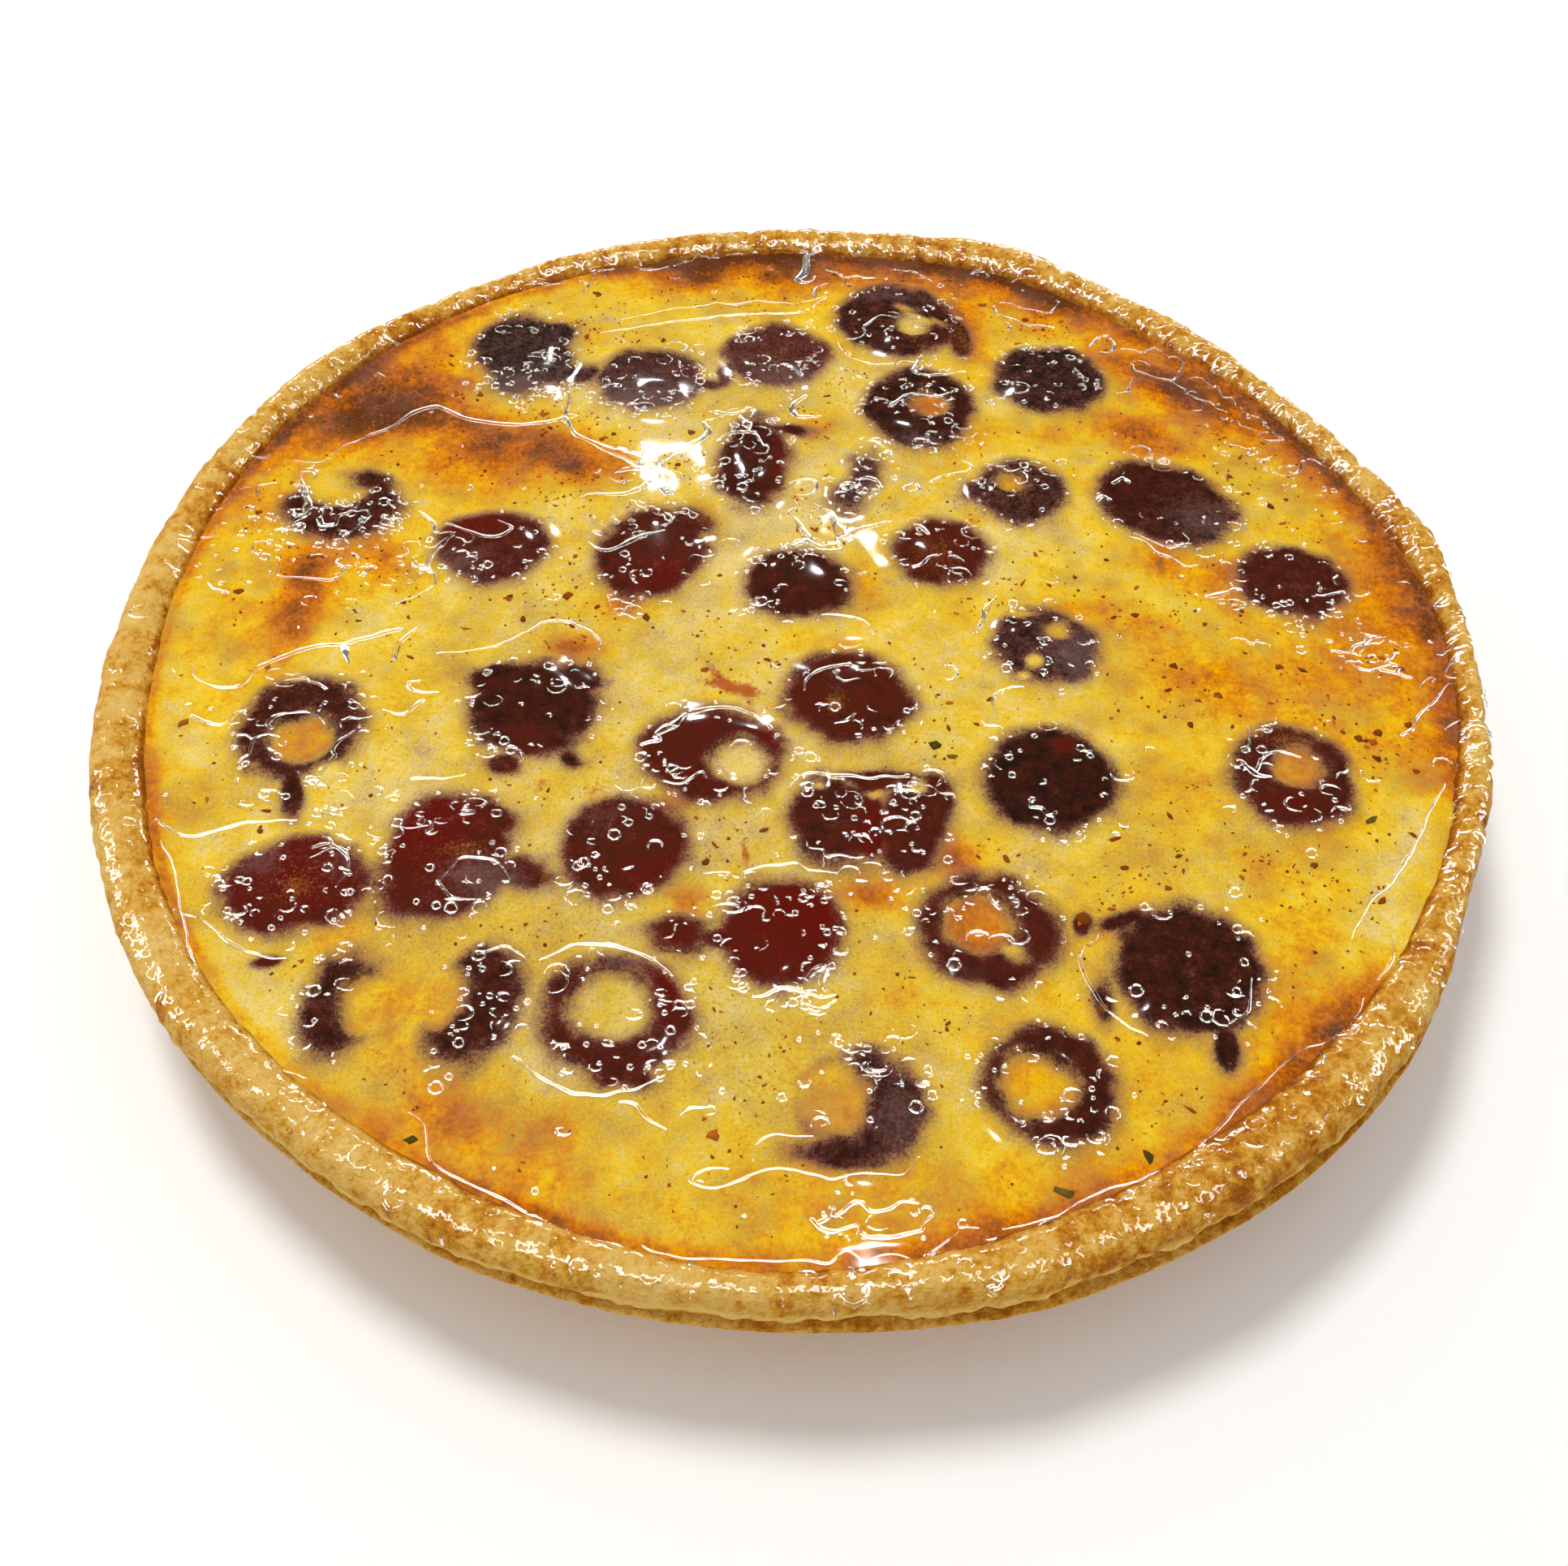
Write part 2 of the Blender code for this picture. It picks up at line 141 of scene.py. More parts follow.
# Soft round patches of a look: the middle, the reach along the patch and across it, its turn in
# degrees, and its strength.
Patch = namedtuple("Patch", "x y long short turn strength")
BROWNED = (
    Patch(-8, 18, 54, 62, 0, -0.19),
    Patch(-10, 28, 10, 8, 0, -0.14),
    Patch(0, -72, 16, 7, 0, -0.20),
    Patch(-14, 107, 42, 13, -4, 0.55),
    Patch(-23, 102, 6, 4, 0, 0.22),
    Patch(-4, 105, 6, 4, 0, 0.18),
    Patch(-50, 97, 22, 10, 33, -0.10),
    Patch(-86, 66, 26, 14, 52, 0.42),
    Patch(-76, 60, 11, 8, 30, 0.30),
    Patch(-85, 51, 13, 8, 20, 0.46),
    Patch(-64, 51, 12, 7, -18, 0.60),
    Patch(-42, 45, 14, 7, -22, 0.62),
    Patch(-43, 40, 5, 3, -30, 0.22),
    Patch(-98, 18, 10, 26, 8, 0.24),
    Patch(-86, 4, 5, 15, -4, 0.66),
    Patch(-75, 17, 6, 8, 20, 0.36),
    Patch(-90, 14, 5, 4, 0, 0.20),
    Patch(30, 108, 22, 9, -12, 0.34),
    Patch(50, 97, 10, 7, -30, 0.30),
    Patch(62, 93, 26, 10, -38, 0.22),
    Patch(33, 86, 4, 11, 14, 0.40),
    Patch(72, 71, 16, 6, -42, 0.64),
    Patch(66, 55, 12, 6, -20, 0.50),
    Patch(92, 60, 22, 11, -58, 0.26),
    Patch(104, 22, 24, 10, -80, 0.32),
    Patch(88, -4, 24, 18, 0, 0.24),
    Patch(70, -8, 12, 7, -10, 0.28),
    Patch(104, -22, 8, 20, 5, 0.16),
    Patch(96, -24, 7, 5, 0, 0.14),
    Patch(72, -55, 42, 34, 30, 0.08),
    Patch(80, -72, 14, 8, 40, 0.20),
    Patch(-72, -82, 14, 8, -40, -0.30),
    Patch(-32, -84, 24, 10, 0, -0.14),
    Patch(-62, -40, 16, 12, 0, -0.10),
    Patch(-16, -44, 18, 12, 0, -0.14),
    Patch(-20, -103, 34, 12, 6, 0.12),
    Patch(-47, -91, 12, 7, -22, 0.46),
    Patch(-28, -92, 8, 4, 0, 0.18),
    Patch(22, -104, 26, 9, 10, 0.20),
    Patch(-55, -75, 8, 8, 0, 0.30),
    Patch(-95, -24, 13, 28, 0, -0.12),
    Patch(-31, 6, 6, 4, 0, 0.52),
    Patch(-17, 30, 4, 6, 30, 0.46),
    Patch(12, 12, 4, 7, 0, 0.46),
    Patch(9, 26, 6, 3, 0, 0.30),
    Patch(-38, -4.5, 6, 3.6, 0, 0.60),
    Patch(6, -2.5, 8, 2.6, -10, 0.30),
    Patch(-18.5, -38, 4.2, 4.0, 0, 0.52),
    Patch(-15, -56, 4.2, 4.0, 0, 0.56),
    Patch(13, -53.5, 5, 3.4, 0, 0.52),
    Patch(26.5, -46.5, 4, 4, 0, 0.46),
    Patch(3, 56, 4, 5, 0, 0.40),
    Patch(48, 55, 6, 3, 0, 0.22),
    Patch(60, 12, 14, 20, 0, 0.08),
    Patch(-60, 38, 15, 7, -10, 0.38),
    Patch(-97, -52, 6, 14, 0, 0.26),
    Patch(36, 56, 8, 5, 0, 0.28),
    Patch(103, -42, 9, 13, 0, -0.46),
    Patch(94, -60, 8, 9, 0, -0.54),
    Patch(48, 8, 6, 4, 0, 0.34),
    Patch(32, 29.5, 1.8, 1.8, 0, 0.55),
    Patch(16, -71, 5, 4, 0, 0.22),
    Patch(-66, -64, 5, 7, 20, 0.24),
    Patch(60, 5, 6, 5, 0, 0.22),
    Patch(77, 18, 5, 8, 0, 0.26),
    Patch(66, 22, 4, 6, 0, 0.34),
)
RED_STREAKS = (
    Patch(-10.5, -12.5, 6.5, 1.6, -12, 0.9),
    Patch(-13.5, -9.0, 3.2, 1.0, -52, 0.7),
    Patch(-7.0, -17.0, 1.2, 4.0, 8, 0.5),
    Patch(-6.5, -47.0, 0.7, 3.4, 10, 0.8),
    Patch(-40.0, -35.0, 1.2, 2.2, 0, 0.6),
    Patch(-31.0, -35.5, 3.4, 2.2, 0, 0.5),
)
OLIVE_PATCHES = (
    Patch(-8, 64, 28, 14, 0, 0.32),
    Patch(0, 36, 22, 24, 0, 0.22),
    Patch(-4, -48, 40, 24, 0, 0.34),
    Patch(-44, -66, 30, 22, 0, 0.36),
    Patch(-8, -78, 22, 12, 0, 0.38),
    Patch(-40, -10, 34, 26, 0, 0.22),
    Patch(20, -27, 22, 10, -20, 0.26),
    Patch(-52, -89, 6, 3, -20, 0.70),
    Patch(2, -90, 9, 6, 0, 0.44),
    Patch(58, -44, 20, 8, 0, 0.04),
    Patch(46, -2, 12, 10, 0, 0.26),
    Patch(-22, -108, 10, 3, -10, 0.60),
)
# Fruit that shows outside its cherry's round outline, and custard that lies over fruit
LOBES = (
    Patch(-50.0, 80.5, 4.0, 4.0, -10, 0.8),
    Patch(-57.0, 64.5, 6.0, 4.4, 0, 0.8),
    Patch(-44.5, 68.5, 5.5, 3.0, 10, 0.75),
    Patch(-20.5, 66.0, 4.0, 1.5, 8, 0.9),
    Patch(-15.5, 70.0, 2.0, 3.0, 0, 0.8),
    Patch(32.0, 84.0, 2.4, 6.0, 6, 0.9),
    Patch(-3.0, 53.4, 5.0, 2.0, 8, 0.8),
    Patch(33.0, 38.0, 4.0, 3.0, -30, 0.7),
    Patch(-19.5, 26.8, 4.6, 4.6, 30, 1.0),
    Patch(-80.0, 35.5, 5.0, 3.0, -20, 0.7),
    Patch(-79.0, -38.0, 1.8, 5.4, 14, 1.0),
    Patch(-49.8, -13.4, 4.6, 4.2, 0, 1.0),
    Patch(-36.6, -12.8, 4.6, 4.2, 0, 1.0),
    Patch(-46.4, -31.0, 2.8, 1.9, -10, 1.1),
    Patch(-35.0, -29.0, 2.4, 1.7, 15, 1.1),
    Patch(15.0, -31.5, 7.5, 1.7, -2, 0.9),
    Patch(12.8, -40.5, 2.8, 6.6, 0, 1.2),
    Patch(24.2, -35.0, 2.2, 4.4, 10, 0.9),
    Patch(-8.5, -63.0, 5.0, 2.0, 0, 1.0),
    Patch(64.0, -78.0, 2.0, 4.4, 0, 0.8),
    Patch(8.0, -97.0, 6.6, 1.9, -6, 1.0),
    Patch(-22.5, -86.5, 6.0, 2.0, 0, 0.7),
    Patch(45.0, -57.5, 1.2, 1.8, -20, 1.1),
    Patch(-76.0, -69.5, 2.4, 1.1, 10, 0.9),
    Patch(-46.0, -42.6, 4.2, 3.0, -20, 0.9),
    Patch(-57.0, -57.0, 4.2, 4.2, 0, 0.9),
    Patch(-41.0, -52.0, 5.4, 3.4, -10, 0.8),
    Patch(47.0, -71.0, 2.0, 5.0, 0, 0.6),
    Patch(51.0, -57.0, 5.0, 1.6, 20, 0.7),
)
COVERS = (
    Patch(-54.5, -29.0, 4.6, 5.0, -30, 1.1),
    Patch(-33.0, -28.0, 2.6, 3.6, 20, 0.9),
    Patch(-39.0, -61.0, 5.0, 4.0, -20, 0.8),
    Patch(20.5, -33.0, 1.8, 1.6, 0, 1.1),
    Patch(33.5, -63.0, 3.4, 1.9, -40, 0.9),
    Patch(13.5, -34.6, 2.2, 1.1, 0, 1.0),
    Patch(4.5, -33.4, 1.7, 1.2, 0, 0.9),
    Patch(41.0, -5.6, 1.7, 1.4, 0, 1.1),
    Patch(39.0, -8.6, 1.2, 1.0, 0, 1.0),
    Patch(38.5, 6.0, 5.0, 1.6, 0, 0.9),
    Patch(24.0, 90.0, 7.0, 1.5, -30, 0.9),
    Patch(-73.4, -34.6, 3.4, 3.0, 30, 1.0),
    Patch(-10.0, 66.0, 3.0, 2.0, 0, 0.8),
    Patch(-66.0, 26.0, 3.0, 2.0, 30, 0.7),
    Patch(12.0, 19.5, 3.0, 2.2, -40, 0.7),
)
CHERRY_RED = (
    Patch(-22.0, 68.0, 5.0, 2.2, -18, 0.56),
    Patch(4.0, 79.0, 4.0, 4.0, 0, 0.28),
    Patch(30.0, 82.0, 4.0, 5.0, 0, 0.28),
    Patch(-3.5, 42.0, 2.4, 9.0, 0, 0.49),
    Patch(-24.0, 12.0, 6.0, 5.0, 30, 0.35),
    Patch(-58.0, 24.0, 7.0, 2.6, 10, 0.42),
    Patch(44.6, -23.7, 2.0, 1.5, 0, 0.90),
    Patch(-43.0, -29.0, 3.0, 5.0, 0, 0.49),
    Patch(-18.0, -53.0, 7.0, 5.0, 30, 0.35),
    Patch(-16.0, -71.0, 3.4, 6.0, 20, 0.56),
    Patch(12.6, -42.0, 2.4, 7.0, 0, 0.56),
    Patch(-2.0, -22.0, 3.0, 8.0, -20, 0.35),
    Patch(3.0, -57.0, 6.0, 6.0, 0, 0.35),
    Patch(-56.0, -44.0, 7.0, 9.0, 0, 0.50),
    Patch(-74.0, -54.0, 9.0, 7.0, 0, 0.30),
    Patch(80.0, -34.0, 7.0, 3.0, 0, 0.28),
)
CHERRY_VEIL = (
    Patch(-56.0, 62.0, 9.0, 4.0, 0, 0.7),
    Patch(-31.0, 60.5, 12.0, 4.0, 0, 0.6),
    Patch(-4.0, 68.5, 11.0, 3.4, 0, 0.4),
    Patch(75.0, 31.0, 8.0, 7.0, -30, 0.6),
    Patch(-61.0, 13.0, 7.0, 5.0, 0, 0.5),
    Patch(-45.0, -54.5, 7.0, 4.2, -20, 0.75),
    Patch(-68.0, -52.0, 4.0, 3.0, 0, 0.3),
    Patch(-81.0, -52.0, 4.0, 3.0, 0, 0.5),
    Patch(17.0, -92.0, 4.0, 6.0, 0, 0.3),
    Patch(-30.0, -42.0, 5.0, 3.4, 20, 0.4),
    Patch(-24.0, -67.5, 8.0, 2.0, 0, 0.6),
    Patch(48.0, -4.0, 4.0, 6.0, 0, 0.5),
    Patch(16.0, 97.0, 9.0, 3.0, 0, 0.4),
    Patch(22.0, 51.0, 7.0, 3.0, 0, 0.5),
)
CHERRY_CREAM = (
    Patch(-5.5, 75.0, 7.0, 5.0, 0, 0.20),
    Patch(22.0, 84.0, 3.0, 4.0, 0, 0.30),
    Patch(25.0, 20.0, 5.0, 6.0, 0, 0.26),
    Patch(7.0, -16.5, 1.8, 2.4, 0, 0.50),
    Patch(-74.0, -56.5, 4.0, 4.0, 0, 0.24),
    Patch(-74.0, -57.0, 1.6, 1.4, 0, 0.16),
    Patch(-50.0, -49.0, 4.0, 2.0, 10, 0.34),
    Patch(-17.0, 29.0, 4.0, 4.4, 30, 0.34),
    Patch(32.0, 84.0, 2.4, 6.0, 6, 0.30),
    Patch(-82.0, 19.0, 4.0, 1.6, 0, 0.40),
    Patch(82.0, -21.0, 4.0, 2.0, 0, 0.40),
    Patch(40.0, 38.0, 4.0, 3.0, -20, 0.40),
    Patch(-86.0, -14.0, 4.0, 2.6, 0, 0.40),
)
# Places where the glaze is lively: full of small waves and bubbles
LIVELY = (
    Patch(-55, 62, 16, 6, 0, 1.0),
    Patch(-30, 58, 15, 5, 0, 1.0),
    Patch(-26, 38, 14, 8, 0, 0.6),
    Patch(-30, 5, 8, 5, 0, 0.9),
    Patch(2, 30, 12, 10, 0, 0.5),
    Patch(24, 48, 12, 8, 0, 0.6),
    Patch(84, 56, 16, 10, -50, 0.35),
    Patch(80, 8, 14, 4, 0, 0.9),
    Patch(98, 1, 9, 6, 0, 0.9),
    Patch(-86, 16, 15, 9, 0, 0.9),
    Patch(-72, 12, 8, 4, 0, 0.9),
    Patch(12, -106, 14, 5, 0, 1.0),
    Patch(4, -76, 15, 6, -20, 0.9),
    Patch(-14, -84, 16, 5, 0, 0.6),
    Patch(-70, -40, 20, 6, 0, 0.6),
    Patch(-16, -54, 12, 4, 0, 0.6),
    Patch(95, 40, 10, 12, 0, 0.5),
    Patch(-60, 100, 30, 8, 30, 0.6),
    Patch(0, 112, 60, 4, 0, 0.7),
    Patch(50, 104, 34, 7, -22, 0.40),
    Patch(-105, 0, 5, 60, 0, 0.25),
    Patch(20, -56, 12, 5, 0, 0.6),
    Patch(-32, -106, 14, 4, 10, 0.5),
)
# Lines that stand up in the glaze where it set in folds: a line's half width at its start, middle and
# end in millimetres, then the places it runs through, which were picked. FOLDS has the places
# in millimetres from the middle of the tart.
Fold = namedtuple("Fold", "start middle end places")
FOLDS = (
    Fold(0.1, 0.5, 0.4, ((-95, 39), (-90, 39), (-87, 43.5), (-83, 46.5), (-78.5, 50), (-75, 54),
        (-71, 56), (-66, 53.5), (-61, 52), (-55, 51.5), (-49, 52.5), (-46, 54.5))),
    Fold(0.4, 0.3, 0.1, ((-46, 54.5), (-45.5, 58), (-46, 61.5), (-49, 62.5), (-52, 62))),
    Fold(0.4, 0.5, 2, ((-46, 54.5), (-44, 50), (-41, 48), (-37, 45.5), (-33, 44), (-28.5, 41.5))),
    Fold(2, 0.6, 0.2, ((-28.5, 41.5), (-24.5, 45), (-20.5, 48), (-18, 51), (-19, 54), (-15, 56))),
    Fold(0.1, 0.5, 1.2, ((-40.5, 32), (-38.5, 33), (-35, 33), (-31.5, 33.5), (-28, 37), (-28.5, 40))),
    Fold(2.2, 1.5, 1.1, ((-28.5, 41.5), (-26.5, 37), (-24.5, 33.5))),
    Fold(2, 1, 0.3, ((-28.5, 41.5), (-29.5, 45), (-30.5, 48))),
    Fold(1.2, 0.6, 0.2, ((-28.5, 41), (-32.5, 40), (-34.5, 38.5))),
    Fold(0.1, 0.45, 0.4, ((-101.5, -12), (-100, -15.5), (-96, -17.5), (-92.5, -17), (-90, -13),
        (-86, -9.5), (-81.5, -7.5), (-77, -6.5), (-73.5, -5), (-67.5, -2.5))),
    Fold(0.7, 0.4, 0.1, ((-77, -6.5), (-76, -9), (-75, -11))),
    Fold(0.1, 0.35, 0.2, ((-61, -8), (-55, -7), (-50.5, -5.5), (-46, -2), (-42, 0.5), (-37, -0.5),
        (-33.5, -3.5), (-33.5, -6))),
    Fold(0.2, 0.35, 0.1, ((-99, -45), (-93.5, -48), (-87.5, -46.5), (-84, -45), (-76.5, -44.5))),
    Fold(0.1, 0.3, 0.1, ((-64, -39.5), (-62, -37.5), (-60, -35), (-56, -35), (-52, -34))),
    Fold(0.1, 0.35, 0.1, ((-91.5, -61.5), (-85, -64.5), (-81.5, -67.5), (-77, -69), (-73, -69.5))),
    Fold(0.2, 0.35, 0.1, ((-73.5, -50), (-70.5, -49), (-67.5, -51.5), (-67, -54))),
    Fold(0.5, 0.4, 0.2, ((23.5, 77), (22, 72), (25.5, 70.5), (32.5, 72.5))),
    Fold(0.2, 0.4, 0.2, ((-64.5, 24), (-60, 21.5), (-55, 20), (-52, 22.5), (-55, 24.5))),
    Fold(0.1, 0.5, 0.2, ((-38, 20), (-34, 18), (-29, 21), (-24, 23))),
    Fold(0.1, 0.2, 0.1, ((-97, -49), (-93.5, -54), (-90, -62), (-86, -71), (-80, -79.5), (-73, -86),
        (-66, -89))),
    Fold(0.1, 0.2, 0.1, ((-51, -93), (-48.5, -95), (-47.5, -99), (-44, -102), (-35, -106), (-27, -110),
        (-20.5, -111), (-18, -112))),
    Fold(0.1, 0.2, 0.1, ((-17.5, -111), (-14.5, -112), (-9.5, -112.5), (-4, -112.5), (3.5, -112.5),
        (7, -112.5), (9.5, -111), (12, -112), (15.5, -111), (18, -111.5))),
    Fold(0.1, 0.2, 0.1, ((19.5, -111), (21, -110), (23, -109), (24.5, -107), (27, -107))),
    Fold(0.1, 0.2, 0.1, ((30, -107), (37, -105), (44, -101), (50, -99), (55, -96.5), (62, -90), (68, -84),
        (74, -79), (81, -75.5), (85, -69.5))),
    Fold(0.2, 0.25, 0.1, ((87.5, -66.5), (90.5, -63), (91.5, -58.5))),
    Fold(0.1, 0.3, 0.15, ((85, -59.5), (89, -53), (94, -48), (98.5, -41), (102, -35), (106, -29))),
    Fold(0.1, 0.25, 0.1, ((-70, 3), (-66, 6), (-64, 9), (-66, 14), (-65, 18), (-62, 21))),
    Fold(0.2, 0.35, 0.1, ((62, 66.5), (64.5, 68), (65.5, 72))),
    Fold(0.1, 0.3, 0.1, ((-62, 95.5), (-58, 95.5), (-52, 96), (-50.5, 98.5))),
    Fold(0.1, 0.3, 0.1, ((61, 27), (66, 24), (71, 24.5), (70, 27))),
    Fold(0.1, 0.3, 0.1, ((47, -60), (44, -65), (48, -74), (53, -77))),
    Fold(0.1, 0.25, 0.1, ((64, -75), (68, -72), (69, -67))),
    Fold(0.1, 0.25, 0.1, ((-53, -56), (-50, -51), (-45, -51), (-42, -54))),
    Fold(0.1, 0.3, 0.2, ((-46, -58), (-50, -58), (-53, -55))),
    Fold(0.1, 0.3, 0.1, ((-73, -52), (-69, -49.5), (-67, -53), (-68, -57))),
    Fold(0.1, 0.25, 0.1, ((-45, -68), (-41, -66), (-38, -68))),
    Fold(0.1, 0.35, 0.2, ((-36, -68), (-30, -65), (-22, -66), (-16, -70))),
    Fold(0.2, 0.3, 0.1, ((-38, -84), (-30, -89), (-22, -89), (-16, -86))),
)
# The places of the other folds are pixels of enlarged parts of the photograph, one table for a part
UPPER_MIDDLE_FOLDS = (
    Fold(0.15, 0.9, 2, ((465, 515), (510, 540), (540, 600), (560, 640))),
    Fold(0.15, 1, 0.5, ((342, 545), (375, 590), (400, 640), (345, 685))),
    Fold(1.6, 0.6, 0.15, ((560, 640), (630, 602), (700, 580), (772, 568))),
    Fold(0.3, 0.6, 1.2, ((280, 695), (340, 662), (400, 652), (470, 680), (550, 668))),
    Fold(0.2, 0.45, 0.25, ((860, 585), (900, 600), (922, 638))),
    Fold(0.25, 0.5, 0.15, ((850, 768), (890, 762), (930, 735), (977, 720))),
    Fold(0.1, 0.3, 0.15, ((1005, 730), (1040, 730), (1077, 750))),
    Fold(0.15, 0.45, 0.3, ((622, 400), (650, 388), (700, 395), (727, 428))),
    Fold(0.3, 0.4, 0.25, ((560, 440), (555, 415), (600, 415), (590, 440))),
    Fold(0.3, 0.45, 0.3, ((812, 428), (830, 410), (870, 405), (887, 430), (840, 438))),
    Fold(0.2, 0.5, 0.25, ((15, 222), (60, 195), (130, 190), (180, 205), (212, 248))),
    Fold(0.4, 0.9, 0.3, ((115, 110), (140, 150), (150, 182))),
    Fold(0.15, 0.35, 0.15, ((320, 400), (370, 382), (420, 385), (442, 410), (420, 445), (350, 452))),
    Fold(0.4, 0.8, 0.2, ((395, 15), (340, 60), (345, 92), (385, 112), (470, 105))),
    Fold(0.5, 0.35, 0.2, ((0, 95), (90, 100), (150, 75), (177, 90), (165, 118))),
    Fold(0.25, 0.35, 0.25, ((750, 80), (790, 60), (830, 25), (900, 20), (960, 30), (1045, 10))),
    Fold(0.25, 0.3, 0.15, ((935, 395), (1020, 360), (1100, 345), (1107, 320), (1070, 303))),
    Fold(0.15, 0.3, 0.15, ((440, 992), (470, 970), (560, 975), (620, 985), (660, 1010), (692, 1052))),
    Fold(0.1, 0.55, 0.35, ((1222, 890), (1180, 930), (1160, 980), (1130, 1050))),
)
MIDDLE_FOLDS = (
    Fold(0.15, 0.4, 0.15, ((632, 212), (640, 180), (680, 145), (740, 130), (800, 125), (832, 145),
        (895, 140))),
    Fold(0.15, 0.25, 0.1, ((800, 115), (758, 130), (755, 165), (790, 185), (835, 178))),
    Fold(0.1, 0.35, 0.15, ((740, 335), (790, 325), (818, 305))),
    Fold(0.7, 0.4, 0.35, ((150, 350), (190, 305), (260, 285), (350, 276), (400, 285), (450, 310),
        (500, 335), (518, 352))),
    Fold(0.3, 0.5, 0.8, ((20, 412), (60, 402), (100, 395), (95, 372), (150, 350))),
    Fold(0.15, 0.25, 0.15, ((275, 540), (255, 520), (210, 545), (170, 560), (110, 545))),
    Fold(0.1, 0.35, 0.2, ((553, 642), (560, 600), (590, 550), (640, 520), (720, 525), (800, 525),
        (860, 535), (930, 525), (990, 530), (1022, 520))),
    Fold(0.15, 0.3, 0.15, ((1075, 505), (1110, 500), (1142, 515), (1156, 548))),
    Fold(0.1, 0.25, 0.15, ((640, 770), (650, 795), (700, 805), (715, 830), (760, 825), (820, 830),
        (852, 820))),
    Fold(0.15, 0.25, 0.1, ((930, 725), (920, 700), (940, 685), (990, 685), (1030, 700), (1052, 690),
        (1050, 650))),
    Fold(0.15, 0.35, 0.2, ((1482, 615), (1475, 650), (1510, 655), (1540, 675), (1570, 665))),
    Fold(0.1, 0.25, 0.1, ((260, 885), (340, 880), (385, 900), (420, 875), (480, 860), (540, 850),
        (600, 842), (650, 870), (700, 880), (750, 890), (768, 917))),
    Fold(0.5, 0.7, 0.4, ((640, 1280), (680, 1242), (715, 1235), (700, 1280), (712, 1312))),
    Fold(0.2, 0.35, 0.15, ((440, 1340), (490, 1335), (550, 1310), (620, 1320), (690, 1340), (750, 1330))),
    Fold(0.2, 0.35, 0.2, ((1310, 970), (1330, 1000), (1362, 1022))),
    Fold(0.15, 0.3, 0.15, ((1345, 300), (1328, 245), (1350, 215), (1400, 195), (1442, 195))),
)
LEFT_FOLDS = (
    Fold(0.3, 0.9, 0.3, ((752, 185), (775, 240), (795, 310), (800, 345), (780, 375), (730, 405),
        (685, 432))),
    Fold(0.15, 0.3, 0.5, ((1050, 295), (1045, 340), (1000, 375), (950, 390), (930, 430), (870, 430),
        (845, 395))),
    Fold(0.1, 0.25, 0.2, ((1040, 370), (1090, 360), (1100, 388), (1050, 430), (990, 465), (942, 450))),
    Fold(0.1, 0.3, 0.15, ((658, 590), (642, 662), (720, 675), (800, 682), (905, 690), (960, 650),
        (968, 620), (925, 600))),
    Fold(0.1, 0.25, 0.1, ((340, 355), (400, 330), (430, 280), (480, 240), (518, 232))),
    Fold(0.2, 0.3, 0.2, ((530, 285), (560, 235), (640, 212))),
    Fold(0.1, 0.25, 0.1, ((560, 190), (612, 150))),
    Fold(0.15, 0.25, 0.3, ((515, 85), (570, 95), (610, 80))),
    Fold(0.1, 0.25, 0.1, ((260, 488), (310, 485), (340, 460), (340, 430))),
    Fold(0.1, 0.25, 0.15, ((550, 575), (528, 545), (540, 512), (595, 500), (590, 525))),
    Fold(0.2, 0.3, 0.25, ((300, 700), (330, 738), (395, 752), (388, 775))),
    Fold(0.35, 0.35, 0.15, ((215, 1368), (280, 1390), (350, 1410), (400, 1395), (440, 1350), (505, 1328),
        (540, 1275))),
    Fold(0.15, 0.3, 0.3, ((680, 1190), (760, 1185), (830, 1205), (890, 1240))),
    Fold(0.3, 0.3, 0.1, ((622, 1440), (600, 1410), (640, 1375), (720, 1355), (790, 1350), (850, 1375),
        (885, 1415))),
    Fold(0.15, 0.3, 0.15, ((655, 1472), (600, 1468), (540, 1482), (520, 1520), (510, 1555), (462, 1585),
        (482, 1605))),
    Fold(0.2, 0.25, 0.15, ((525, 1488), (490, 1465), (445, 1470), (430, 1500))),
    Fold(0.2, 0.3, 0.2, ((1020, 1440), (950, 1500), (915, 1540), (925, 1570), (880, 1625), (850, 1670))),
    Fold(0.1, 0.25, 0.1, ((962, 1430), (965, 1400), (1010, 1378), (1060, 1382), (1112, 1365))),
    Fold(0.15, 0.3, 0.4, ((1165, 1332), (1230, 1345), (1285, 1345), (1335, 1295), (1365, 1285))),
    Fold(0.1, 0.5, 0.15, ((1440, 1238), (1370, 1240), (1310, 1235), (1285, 1208), (1310, 1185),
        (1355, 1180))),
    Fold(0.5, 0.5, 0.2, ((1215, 1075), (1225, 1030), (1245, 990), (1290, 960), (1340, 922))),
    Fold(0.15, 0.3, 0.15, ((1520, 480), (1480, 510), (1430, 560), (1390, 600), (1395, 625))),
    Fold(0.15, 0.5, 0.15, ((1330, 350), (1380, 370), (1410, 400), (1430, 450), (1510, 465))),
)
